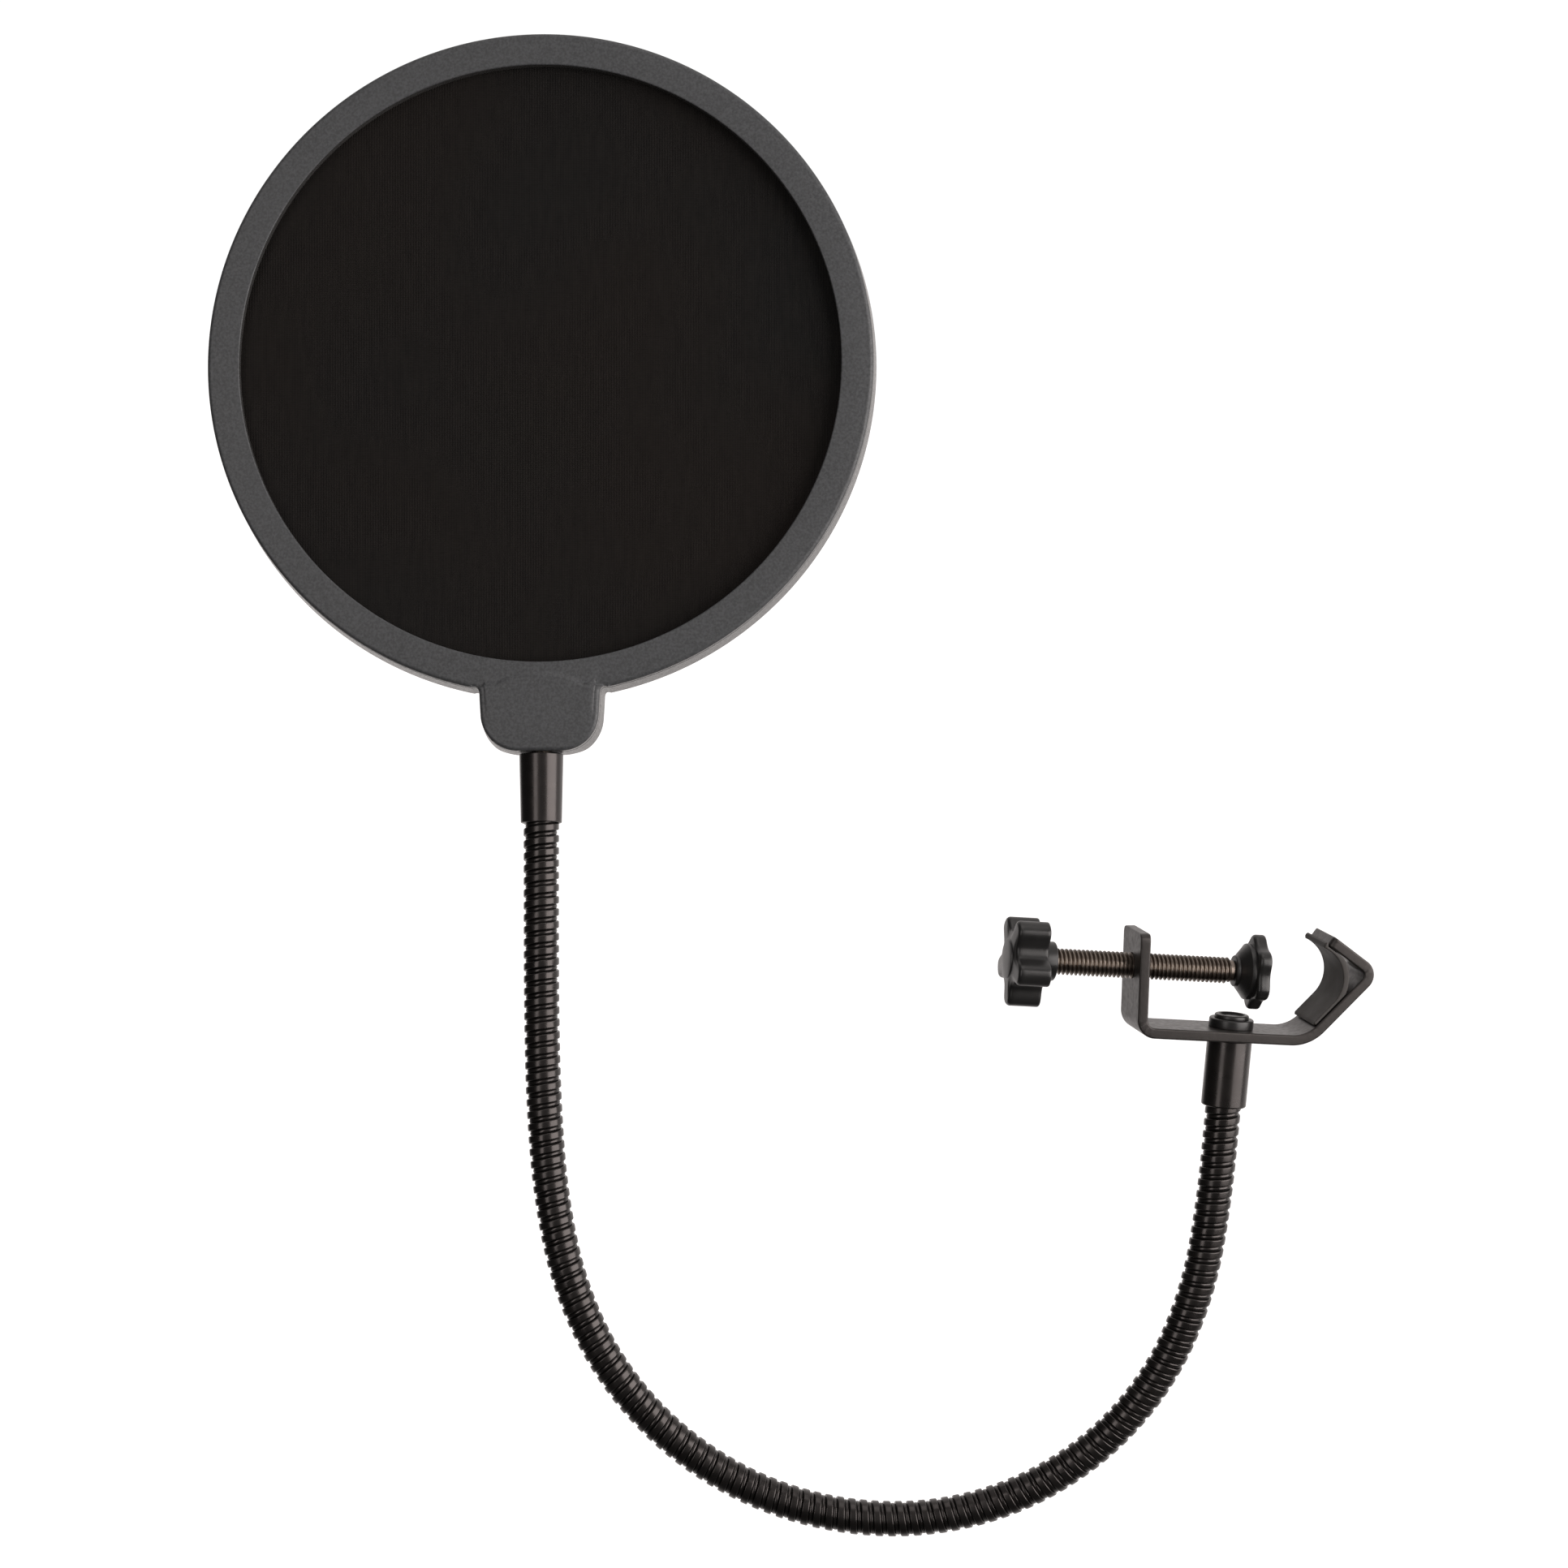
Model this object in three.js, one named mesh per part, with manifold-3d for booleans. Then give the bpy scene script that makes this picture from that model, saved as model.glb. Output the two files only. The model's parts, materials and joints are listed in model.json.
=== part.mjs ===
// Pop filter: a double mesh in a round two-part frame, on a gooseneck, with a
// screw clamp for a microphone stand tube.
// Millimetres, +Z up. The origin is the middle of the stand tube that the clamp
// grips. The tube runs along Y, and the clamp screw runs along X.
import * as THREE from 'three';
import { mergeVertices } from 'three/addons/utils/BufferGeometryUtils.js';
import Module from 'manifold-3d';

const wasm = await Module();
wasm.setup();

// ---------------------------------------------------------------- sizes

const GAP = 0.3;                  // air between pieces that touch on the real object

// clamp bracket: one steel strip, bent into an arm, a bottom and a hook
const STRIP = { thick: 2.4, width: 15, corner: 1.6 };
const STRIP_UNDERSIDE = -15.45;   // height of the bottom run's lower face
const ARM = { footX: -38.35, topX: -39.6, top: 8.4 };   // the arm leans out a little
const HOOK = {
  bendX: 1,                       // where the bottom run turns up into the hook
  cornerX: 15.3, cornerZ: 2.1,    // the hook's outer corner
  tipX: 4.3, tipZ: 9.1,
};
const BEND_RADIUS = { arm: 3.2, hookFoot: 9, hookCorner: 2.6 };

// liner of the hook: a soft crescent that the stand tube rests in
const LINER = { tubeRadius: 7.9, back: 9.3, footRun: 6.6, tipAngle: 70 };

// clamp screw with its knob and pressure pad, all on the X axis
const SCREW = { radius: 2.9, left: -67, shoulder: -16.4, neckRadius: 1.8, ballRadius: 2.5 };
const SCREW_HOLE = 3.2;
const BALL_X = -14;
const KNOB = { right: -61.5, length: 7.6, dome: 0.8, mean: 8.6, wave: 2, lobes: 5, firstLobe: 57 };
const COLLAR = { radius: 4.45, length: 2.9 };
const PAD = { face: -9.3, rim: 3, mean: 7.95, wave: 0.65, lobes: 6, hubLeft: -16.1, hubRadius: 4 };

// ferrules, bolt and washer
const NECK_AXIS_X = -15.4;        // the lower ferrule hangs under the bottom run here
const LOWER_FERRULE = { radius: 5.15, length: 15.5 };
const UPPER_FERRULE = { length: 16, topRadius: 5.1, bottomRadius: 4.75 };
const SOCKET = { depth: 10, studRadius: 2.8 };
const BOLT = { radius: 2.5, headRadius: 3.95, head: 0.9, cupRadius: 2.9, cup: 0.6 };
const WASHER = { radius: 5.1, thick: 2.1 };

// gooseneck: equal links of tube, each a ball joint on the next
const NECK = { radius: 4.1, bore: 2.1, length: 346, links: 16, ball: 4.6, cup: 4.95, inSocket: 9.7 };
const NECK_SWIVEL = 12;           // the plane of the bend, turned about the lower ferrule
const NECK_BENDS = [              // from the clamp end: length and radius of each stretch
  { length: 19.5, radius: Infinity },
  { length: 22, radius: 173 },
  { length: 95, radius: 71.6 },
  { length: 105, radius: 78.2 },
  { length: 22, radius: 131 },
  { length: 36, radius: 430 },
  { length: 46.5, radius: Infinity },
];
const LEAN = { total: -11.6, firstLink: 10 };   // the last links lean back out of that plane

// filter head: ring of 155 mm diameter; its front faces -Y, its centre is the local origin,
// and the rear shell widens a little towards its back
const RING = { outer: 77.5, backOuter: 78.1, inner: 70, front: -5.3, back: 5.3, wall: 1.9, edge: 1.1 };
const SEAM = -3;                  // the two shells part here, close behind the front face
const MESH = { radius: 75.2, near: 1.5, far: 2 };
const SPACER = { outer: 75.2, inner: 70.6, half: 1.2 };
const TAB = { bottom: -90.7, halfTop: 14, halfBottom: 5, shoulder: -82, neck: -75.6, flare: 15.9 };
const PLATEAU = { proud: 1, inset: 1.5, top: -71.4, arc: 20 };
const STUD = { radius: 2.5, flange: 4, flangeThick: 1.6, shank: 6 };
const TAB_SCREW = { x: 8.6, z: -79.5, radius: 1.25, hole: 1.55, head: 2.3, headThick: 1.6, length: 9 };

const FACETS = { ring: 64, neck: 18, small: 24 };
const deg = THREE.MathUtils.degToRad;

// ---------------------------------------------------------------- solids

// A closed three.js geometry as a solid that can be cut and joined.
function solidOf(geometry) {
  const bare = geometry.index ? geometry.toNonIndexed() : geometry.clone();
  bare.deleteAttribute('normal');
  bare.deleteAttribute('uv');
  const merged = mergeVertices(bare, 1e-4);
  const index = Array.from(merged.index.array);
  const kept = [];
  for (let i = 0; i < index.length; i += 3) {
    const [a, b, c] = index.slice(i, i + 3);
    if (a !== b && b !== c && c !== a) kept.push(a, b, c);
  }
  return new wasm.Manifold(new wasm.Mesh({
    numProp: 3,
    vertProperties: new Float32Array(merged.attributes.position.array),
    triVerts: new Uint32Array(kept),
  }));
}

function geometryOf(solid) {
  const mesh = solid.getMesh();
  const geometry = new THREE.BufferGeometry();
  geometry.setAttribute('position', new THREE.BufferAttribute(new Float32Array(mesh.vertProperties), 3));
  geometry.setIndex(new THREE.BufferAttribute(new Uint32Array(mesh.triVerts), 1));
  geometry.computeVertexNormals();
  return geometry;
}

// A profile of [radius, height] points, turned about Z.
function turned(profile, facets) {
  const points = profile.map(([r, z]) => new THREE.Vector2(r, z));
  if (THREE.ShapeUtils.isClockWise(points)) points.reverse();
  points.push(points[0].clone());
  const lathe = new THREE.LatheGeometry(points, facets);
  lathe.rotateX(Math.PI / 2);
  return solidOf(lathe);
}

// A shape drawn in X and Z, given thickness along Y from y0 to y1.
function slab(shape, y0, y1, curveSegments = 6) {
  const geometry = new THREE.ExtrudeGeometry(shape, { depth: y1 - y0, bevelEnabled: false, curveSegments });
  geometry.rotateX(Math.PI / 2);
  geometry.translate(0, y1, 0);
  return solidOf(geometry);
}

// A solid made about Z, laid so that its +Z points along +X.
function alongX(solid) {
  return solid.rotate([0, 90, 0]);
}

function rod(radius, z0, z1, facets = FACETS.small) {
  return turned([[0, z0], [radius, z0], [radius, z1], [0, z1]], facets);
}

function node(name, solid, look) {
  const mesh = new THREE.Mesh(geometryOf(solid), new THREE.MeshStandardMaterial(look));
  mesh.name = name;
  return mesh;
}

// ---------------------------------------------------------------- finishes

const LOOK = {
  frame: { color: 0x57575a, roughness: 0.55, metalness: 0 },
  knit: { color: 0x141314, roughness: 0.9, metalness: 0 },
  blackSteel: { color: 0x2b2928, roughness: 0.4, metalness: 0.6 },
  glossSteel: { color: 0x1a1918, roughness: 0.25, metalness: 0.7 },
  bareSteel: { color: 0x6b5f56, roughness: 0.35, metalness: 1 },
  plastic: { color: 0x232425, roughness: 0.4, metalness: 0 },
  rubber: { color: 0x3a3533, roughness: 0.75, metalness: 0 },
};

// ---------------------------------------------------------------- clamp

// The middle line of a bent strip: straight runs through corners, rounded by the radii.
function bentPath(corners, radii, steps) {
  const line = [];
  corners.forEach((corner, i) => {
    if (i === 0 || i === corners.length - 1) {
      line.push(corner.clone());
      return;
    }
    const into = corner.clone().sub(corners[i - 1]).normalize();
    const out = corners[i + 1].clone().sub(corner).normalize();
    const turn = Math.atan2(into.x * out.y - into.y * out.x, into.dot(out));
    const reach = radii[i] * Math.tan(Math.abs(turn) / 2);
    const start = corner.clone().addScaledVector(into, -reach);
    const side = Math.sign(turn);
    const centre = start.clone().add(new THREE.Vector2(-into.y, into.x).multiplyScalar(side * radii[i]));
    for (let k = 0; k <= steps; k++) {
      line.push(start.clone().rotateAround(centre, turn * k / steps));
    }
  });
  return line;
}

// The outline of a strip of even thickness about its middle line.
function stripOutline(line, thick) {
  const left = [];
  const right = [];
  line.forEach((point, i) => {
    const before = line[Math.max(i - 1, 0)];
    const after = line[Math.min(i + 1, line.length - 1)];
    const along = after.clone().sub(before).normalize();
    const across = new THREE.Vector2(-along.y, along.x).multiplyScalar(thick / 2);
    left.push(point.clone().add(across));
    right.push(point.clone().sub(across));
  });
  return new THREE.Shape([...left, ...right.reverse()]);
}

const stripMiddle = STRIP_UNDERSIDE + STRIP.thick / 2;
const stripTop = STRIP_UNDERSIDE + STRIP.thick;
const hookFoot = new THREE.Vector2(HOOK.bendX, stripMiddle);
const hookCorner = new THREE.Vector2(HOOK.cornerX, HOOK.cornerZ);
const hookTip = new THREE.Vector2(HOOK.tipX, HOOK.tipZ);

// What is cut from a strip's end to round its two corners; the end is at height top.
function cornerCut(top, radius, x0, x1) {
  const half = STRIP.width / 2;
  const block = new THREE.BoxGeometry(x1 - x0, STRIP.width + 2, radius + 1);
  block.translate((x0 + x1) / 2, 0, top - radius + (radius + 1) / 2);
  const round = new THREE.Shape();
  round.moveTo(-half, -radius - 1);
  round.lineTo(half, -radius - 1);
  round.lineTo(half, -radius);
  round.absarc(half - radius, -radius, radius, 0, Math.PI / 2, false);
  round.absarc(radius - half, -radius, radius, Math.PI / 2, Math.PI, false);
  const keep = slab(round, x0 - 1, x1 + 1, 5).rotate([0, 0, 90]).translate([x0 + x1, 0, top]);
  return solidOf(block).subtract(keep);
}

function makeBracket() {
  const corners = [new THREE.Vector2(ARM.topX, ARM.top), new THREE.Vector2(ARM.footX, stripMiddle),
    hookFoot, hookCorner, hookTip];
  const radii = [0, BEND_RADIUS.arm, BEND_RADIUS.hookFoot, BEND_RADIUS.hookCorner, 0];
  const outline = stripOutline(bentPath(corners, radii, 5), STRIP.thick);
  const screwHole = alongX(rod(SCREW_HOLE, ARM.topX - 5, ARM.topX + 5));
  const boltHole = rod(BOLT.radius + GAP, STRIP_UNDERSIDE - 1, stripTop + 1)
    .translate([NECK_AXIS_X, 0, 0]);
  return slab(outline, -STRIP.width / 2, STRIP.width / 2)
    .subtract(cornerCut(ARM.top, STRIP.corner, ARM.topX - 2, ARM.topX + 2))
    .subtract(screwHole)
    .subtract(boltHole);
}

// The line that lies a given distance from the origin, facing the given way.
function linePoint(facing, distance, along) {
  const out = new THREE.Vector2(Math.cos(facing), Math.sin(facing)).multiplyScalar(distance);
  const side = new THREE.Vector2(-Math.sin(facing), Math.cos(facing)).multiplyScalar(along);
  return out.add(side);
}

function makeLiner() {
  const foot = hookCorner.clone().sub(hookFoot).angle() - Math.PI / 2;
  const head = hookTip.clone().sub(hookCorner).angle() - Math.PI / 2;
  const clear = STRIP.thick / 2 + GAP;
  const footBack = hookCorner.dot(linePoint(foot, 1, 0)) - clear;
  const headBack = hookCorner.dot(linePoint(head, 1, 0)) - clear;
  const outline = new THREE.Shape();
  const start = linePoint(foot, LINER.tubeRadius, -LINER.footRun);
  const heel = linePoint(foot, footBack, -LINER.footRun);
  const tip = deg(LINER.tipAngle);
  const backFrom = foot + Math.acos(footBack / LINER.back);
  const backTo = head - Math.acos(headBack / LINER.back);
  outline.moveTo(start.x, start.y);
  outline.lineTo(heel.x, heel.y);
  outline.absarc(0, 0, LINER.back, backFrom, backTo, false);
  const lip = linePoint(head, headBack, LINER.tubeRadius * Math.tan(tip - head) + 1.2);
  outline.lineTo(lip.x, lip.y);
  outline.absarc(0, 0, LINER.tubeRadius, tip, foot, true);
  return slab(outline, -STRIP.width / 2, STRIP.width / 2, 14);
}

// A round outline that waves in and out in the given number of lobes.
function lobedOutline({ mean, wave, lobes }, turn, flat, points) {
  const ring = [];
  for (let i = 0; i < points; i++) {
    const angle = 2 * Math.PI * i / points;
    const swing = Math.tanh(flat * Math.cos(lobes * angle)) / Math.tanh(flat);
    const radius = mean + wave * swing;
    ring.push(new THREE.Vector2(radius * Math.cos(angle + turn), radius * Math.sin(angle + turn)));
  }
  return new THREE.Shape(ring);
}

// A lobed prism along X from x0 to x1.
function lobedBar(outline, x0, x1) {
  return slab(outline, -x1, -x0).rotate([0, 0, 90]);
}

function makeKnob() {
  const turn = deg(180 - KNOB.firstLobe);
  const left = KNOB.right - KNOB.length;
  const dome = [];
  const domeSteps = 4;
  const rimRadius = KNOB.mean + KNOB.wave + 0.5;
  const rise = 3.2;
  for (let i = 0; i <= domeSteps; i++) {
    const angle = (Math.PI / 2) * i / domeSteps;
    dome.push([rimRadius - rise + rise * Math.cos(angle), left - KNOB.dome * Math.sin(angle)]);
  }
  const envelope = turned([[0, KNOB.right], [rimRadius, KNOB.right], ...dome, [0, left - KNOB.dome]],
    FACETS.small);
  const bar = lobedBar(lobedOutline(KNOB, turn, 1.5, 50), left - KNOB.dome - 1, KNOB.right);
  const collar = rod(COLLAR.radius, KNOB.right - 1, KNOB.right + COLLAR.length);
  const bore = rod(SCREW.radius + GAP, SCREW.left - GAP, KNOB.right + COLLAR.length + 1);
  return bar.intersect(alongX(envelope)).add(alongX(collar)).subtract(alongX(bore));
}

function makePad() {
  const rimBack = PAD.face - PAD.rim;
  const disc = lobedBar(lobedOutline(PAD, deg(30), 0.6, 48), rimBack, PAD.face);
  const hub = turned([[0, PAD.hubLeft], [PAD.hubRadius, PAD.hubLeft], [PAD.hubRadius, PAD.hubLeft + 1.2],
    [6.6, rimBack], [6.6, rimBack + 1], [0, rimBack + 1]], FACETS.small);
  const socket = SCREW.ballRadius + GAP;
  const mouth = SCREW.neckRadius + GAP;
  const hollow = [[0, PAD.hubLeft - 1], [mouth, PAD.hubLeft - 1], [mouth, BALL_X - 1.8]];
  for (let i = 0; i <= 6; i++) {
    const angle = deg(-40 + 130 * i / 6);
    hollow.push([socket * Math.cos(angle), BALL_X + socket * Math.sin(angle)]);
  }
  hollow[hollow.length - 1][0] = 0;
  return disc.add(alongX(hub)).subtract(alongX(turned(hollow, FACETS.small)));
}

function makeScrew() {
  const profile = [[0, SCREW.left], [SCREW.radius - 0.5, SCREW.left], [SCREW.radius, SCREW.left + 0.5],
    [SCREW.radius, SCREW.shoulder], [SCREW.neckRadius, SCREW.shoulder]];
  const from = -Math.acos(SCREW.neckRadius / SCREW.ballRadius);
  for (let i = 0; i <= 6; i++) {
    const angle = from + (Math.PI / 2 - from) * i / 6;
    profile.push([SCREW.ballRadius * Math.cos(angle), BALL_X + SCREW.ballRadius * Math.sin(angle)]);
  }
  profile[profile.length - 1][0] = 0;
  return alongX(turned(profile, FACETS.small));
}

// ---------------------------------------------------------------- neck base
// These pieces are made about the neck's own axis, with Z = 0 at the lower ferrule's
// free end and the ferrule on the -Z side: the neck runs away along +Z.

const ferruleTop = -LOWER_FERRULE.length;
const boltSeat = ferruleTop - GAP - STRIP.thick - GAP - WASHER.thick - GAP;

function makeLowerFerrule() {
  const { radius } = LOWER_FERRULE;
  const socket = NECK.radius + GAP;
  return turned([[SOCKET.studRadius, ferruleTop], [radius - 0.3, ferruleTop], [radius, ferruleTop + 0.3],
    [radius, -0.5], [radius - 0.4, 0], [socket, 0], [socket, -SOCKET.depth],
    [SOCKET.studRadius, -SOCKET.depth]], FACETS.small);
}

function makeWasher() {
  const top = boltSeat + GAP;
  return turned([[BOLT.radius + GAP, top], [WASHER.radius - 0.3, top], [WASHER.radius, top + 0.3],
    [WASHER.radius, top + WASHER.thick], [BOLT.radius + GAP, top + WASHER.thick]], FACETS.small);
}

function makeBolt() {
  const top = boltSeat - BOLT.head;
  const body = turned([[0, top], [BOLT.headRadius - 0.4, top], [BOLT.headRadius, top + 0.4],
    [BOLT.headRadius, boltSeat], [BOLT.radius, boltSeat], [BOLT.radius, -SOCKET.depth - 0.8],
    [0, -SOCKET.depth - 0.8]], FACETS.small);
  return body.subtract(rod(BOLT.cupRadius, top - 1, top + BOLT.cup));
}

// ---------------------------------------------------------------- gooseneck

// Angles of a joint ball's face, measured from its axis, from rim to bore.
function ballFace(radius, centre, steps) {
  const rim = Math.asin(NECK.radius / radius);
  const hole = Math.asin(NECK.bore / radius);
  const points = [];
  for (let i = 0; i <= steps; i++) {
    const angle = rim + (hole - rim) * i / steps;
    points.push([radius * Math.sin(angle), centre + radius * Math.cos(angle)]);
  }
  return points;
}

const pitch = NECK.length / NECK.links;

// One link, from its near joint at Z = 0 to its far joint at Z = pitch.
function makeLink(number) {
  const start = number === 1
    ? [[NECK.radius, -NECK.inSocket], [NECK.bore, -NECK.inSocket]]
    : ballFace(NECK.cup, 0, 3);
  const end = number === NECK.links
    ? [[NECK.bore, pitch + NECK.inSocket], [NECK.radius, pitch + NECK.inSocket]]
    : ballFace(NECK.ball, pitch, 3).reverse();
  return turned([...start, ...end], FACETS.neck);
}

// How far the neck's bend has turned, in radians, at a distance from the lower ferrule.
function turnedBy(distance) {
  let left = distance;
  let angle = 0;
  for (const { length, radius } of NECK_BENDS) {
    angle += Math.min(Math.max(left, 0), length) / radius;
    left -= length;
  }
  return angle;
}

function bendAt(joint) {
  return turnedBy((joint + 0.5) * pitch) - turnedBy((joint - 0.5) * pitch);
}

function leanAt(joint) {
  const leaning = NECK.links - LEAN.firstLink;
  return joint >= LEAN.firstLink ? deg(LEAN.total) / leaning : 0;
}

// ---------------------------------------------------------------- neck end
// These are made with Z = 0 at the upper ferrule's lower end.

function makeUpperFerrule() {
  const { length, topRadius, bottomRadius } = UPPER_FERRULE;
  const socket = NECK.radius + 0.2;
  return turned([[socket, 0], [bottomRadius - 0.2, 0], [bottomRadius, 0.4], [topRadius, length - 0.3],
    [topRadius - 0.3, length], [SOCKET.studRadius, length], [SOCKET.studRadius, SOCKET.depth],
    [socket, SOCKET.depth]], FACETS.small);
}

// The stud that joins the ferrule to the head: its flange turns inside the tab.
const tabFoot = UPPER_FERRULE.length + GAP;
const flangeFrom = tabFoot + STUD.shank;

function makeStud() {
  const { radius, flange, flangeThick } = STUD;
  return turned([[0, SOCKET.depth + 0.8], [radius, SOCKET.depth + 0.8], [radius, flangeFrom],
    [flange, flangeFrom], [flange, flangeFrom + flangeThick], [0, flangeFrom + flangeThick]],
  FACETS.small);
}

// ---------------------------------------------------------------- filter head

// A solid turned about Z, stood up so that its +Z points along +Y.
function facingBack(solid) {
  return solid.rotate([-90, 0, 0]);
}

function tabOutline(inset) {
  const side = TAB.halfTop - inset;
  const flat = TAB.halfBottom;
  const low = TAB.bottom + inset;
  const shape = new THREE.Shape();
  shape.moveTo(-flat, low);
  shape.lineTo(flat, low);
  shape.bezierCurveTo(flat + 4.9, low, side - 0.4, low + 3.9, side - 0.3, TAB.shoulder);
  if (inset === 0) {
    shape.lineTo(side, TAB.neck - 2);
    shape.quadraticCurveTo(side, TAB.neck, TAB.flare, TAB.neck);
    shape.lineTo(TAB.flare - 3, TAB.neck + 2.6);
    shape.lineTo(3 - TAB.flare, TAB.neck + 2.6);
    shape.lineTo(-TAB.flare, TAB.neck);
    shape.quadraticCurveTo(-side, TAB.neck, -side, TAB.neck - 2);
  } else {
    const rise = Math.asin(side / PLATEAU.arc);
    shape.absarc(0, PLATEAU.top - PLATEAU.arc, PLATEAU.arc, Math.PI / 2 - rise, Math.PI / 2 + rise, false);
  }
  shape.lineTo(0.3 - side, TAB.shoulder);
  shape.bezierCurveTo(0.4 - side, low + 3.9, -flat - 4.9, low, -flat, low);
  return shape;
}

// The room inside the tab for the stud and its flange.
function studRoom() {
  const foot = TAB.bottom;
  const shank = rod(STUD.radius + GAP, foot - 1, foot + STUD.shank + 0.5);
  const low = foot + STUD.shank - GAP;
  const flange = rod(STUD.flange + GAP, low, low + STUD.flangeThick + 2 * GAP);
  return shank.add(flange);
}

function atScrews(solid) {
  const one = facingBack(solid);
  return one.translate([-TAB_SCREW.x, 0, TAB_SCREW.z]).add(one.translate([TAB_SCREW.x, 0, TAB_SCREW.z]));
}

function makeFrontShell() {
  const { outer, inner, front, wall, edge } = RING;
  const lip = -MESH.far - GAP;
  const ring = turned([[inner, lip], [inner, front + 0.4], [inner + 0.4, front], [outer - edge, front],
    [outer - 0.3, front + 0.5], [outer, front + edge], [outer, SEAM], [outer - wall, SEAM],
    [outer - wall, front + wall], [inner + wall, front + wall], [inner + wall, lip]], FACETS.ring);
  const plate = slab(tabOutline(0), front, SEAM);
  const plateau = slab(tabOutline(PLATEAU.inset), front - PLATEAU.proud, front + 0.5, 10);
  const holes = atScrews(rod(TAB_SCREW.hole, -5, 0, 12));
  return facingBack(ring).add(plate).add(plateau).subtract(studRoom()).subtract(holes);
}

function makeRearShell() {
  const { outer, backOuter, inner, back, wall, edge } = RING;
  const seam = SEAM + GAP;
  const lip = MESH.far + GAP;
  const ring = turned([[inner, lip], [inner + wall, lip], [inner + wall, back - wall],
    [outer - wall, back - wall], [outer - wall, seam], [outer, seam], [backOuter, back - edge],
    [backOuter - 0.3, back - 0.5], [backOuter - edge, back], [inner + 0.4, back], [inner, back - 0.4]],
  FACETS.ring);
  const block = slab(tabOutline(0), seam, back)
    .subtract(facingBack(rod(RING.outer - RING.wall / 2, seam - 1, back + 1, FACETS.ring)));
  const holes = atScrews(rod(TAB_SCREW.hole, seam - 1, back + 1, 12));
  const headRoom = atScrews(rod(TAB_SCREW.head + GAP, back - TAB_SCREW.headThick - 0.5, back + 1, 16));
  return facingBack(ring).add(block).subtract(studRoom()).subtract(holes).subtract(headRoom);
}

function makeMesh(side) {
  const near = Math.min(side * MESH.near, side * MESH.far);
  const far = Math.max(side * MESH.near, side * MESH.far);
  return facingBack(rod(MESH.radius, near, far, FACETS.ring));
}

function makeSpacer() {
  const { outer, inner, half } = SPACER;
  return facingBack(turned([[inner, -half], [outer, -half], [outer, half], [inner, half]], FACETS.ring));
}

function makeTabScrew(side) {
  const headTop = RING.back - 0.2;
  const seat = headTop - TAB_SCREW.headThick;
  const body = turned([[0, headTop - TAB_SCREW.length], [TAB_SCREW.radius, headTop - TAB_SCREW.length + 0.8],
    [TAB_SCREW.radius, seat], [TAB_SCREW.head, seat], [TAB_SCREW.head, headTop - 0.4],
    [TAB_SCREW.head - 0.5, headTop], [0, headTop]], 16);
  const blade = new THREE.BoxGeometry(0.6, 0.8, 2.6);
  blade.translate(0, headTop, 0);
  const cross = solidOf(blade).add(solidOf(blade).rotate([0, 90, 0]));
  return facingBack(body).subtract(cross).translate([side * TAB_SCREW.x, 0, TAB_SCREW.z]);
}

// ---------------------------------------------------------------- assembly

const popFilter = new THREE.Group();

popFilter.add(
  node('bracket', makeBracket(), LOOK.blackSteel),
  node('hook_liner', makeLiner(), LOOK.rubber),
  node('clamp_screw', makeScrew(), LOOK.bareSteel),
  node('clamp_knob', makeKnob(), LOOK.plastic),
  node('pressure_pad', makePad(), LOOK.plastic),
);

// The neck hangs from the bracket: its local +Z runs down, away from the clamp.
const neckBase = new THREE.Group();
neckBase.position.set(NECK_AXIS_X, 0, STRIP_UNDERSIDE - GAP - LOWER_FERRULE.length);
neckBase.rotation.set(Math.PI, 0, deg(180 - NECK_SWIVEL), 'ZXY');
neckBase.add(
  node('lower_ferrule', makeLowerFerrule(), LOOK.glossSteel),
  node('clamp_washer', makeWasher(), LOOK.plastic),
  node('clamp_bolt', makeBolt(), LOOK.plastic),
);
popFilter.add(neckBase);

let joint = neckBase;
for (let number = 1; number <= NECK.links; number++) {
  const label = String(number).padStart(2, '0');
  joint.add(node(`gooseneck_segment_${label}`, makeLink(number), LOOK.glossSteel));
  const next = new THREE.Group();
  next.position.z = pitch;
  next.name = `joint_${label}`;
  if (number < NECK.links) next.rotation.set(leanAt(number), bendAt(number), 0, 'YXZ');
  joint.add(next);
  joint = next;
}

const neckEnd = joint;
neckEnd.add(
  node('upper_ferrule', makeUpperFerrule(), LOOK.glossSteel),
  node('swivel_stud', makeStud(), LOOK.bareSteel),
);

const head = new THREE.Group();
head.name = 'head';
head.position.z = tabFoot - TAB.bottom;
head.add(
  node('front_ring_shell', makeFrontShell(), LOOK.frame),
  node('rear_ring_shell', makeRearShell(), LOOK.frame),
  node('front_mesh', makeMesh(-1), LOOK.knit),
  node('mesh_spacer', makeSpacer(), LOOK.plastic),
  node('rear_mesh', makeMesh(1), LOOK.knit),
  node('tab_screw_1', makeTabScrew(-1), LOOK.blackSteel),
  node('tab_screw_2', makeTabScrew(1), LOOK.blackSteel),
);
neckEnd.add(head);

export default popFilter;
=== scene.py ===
"""Pop filter on a gooseneck with a screw clamp: the finished looks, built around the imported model."""
import json
import math

import bmesh
import bpy
import numpy as np
from mathutils import Matrix, Vector

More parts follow.
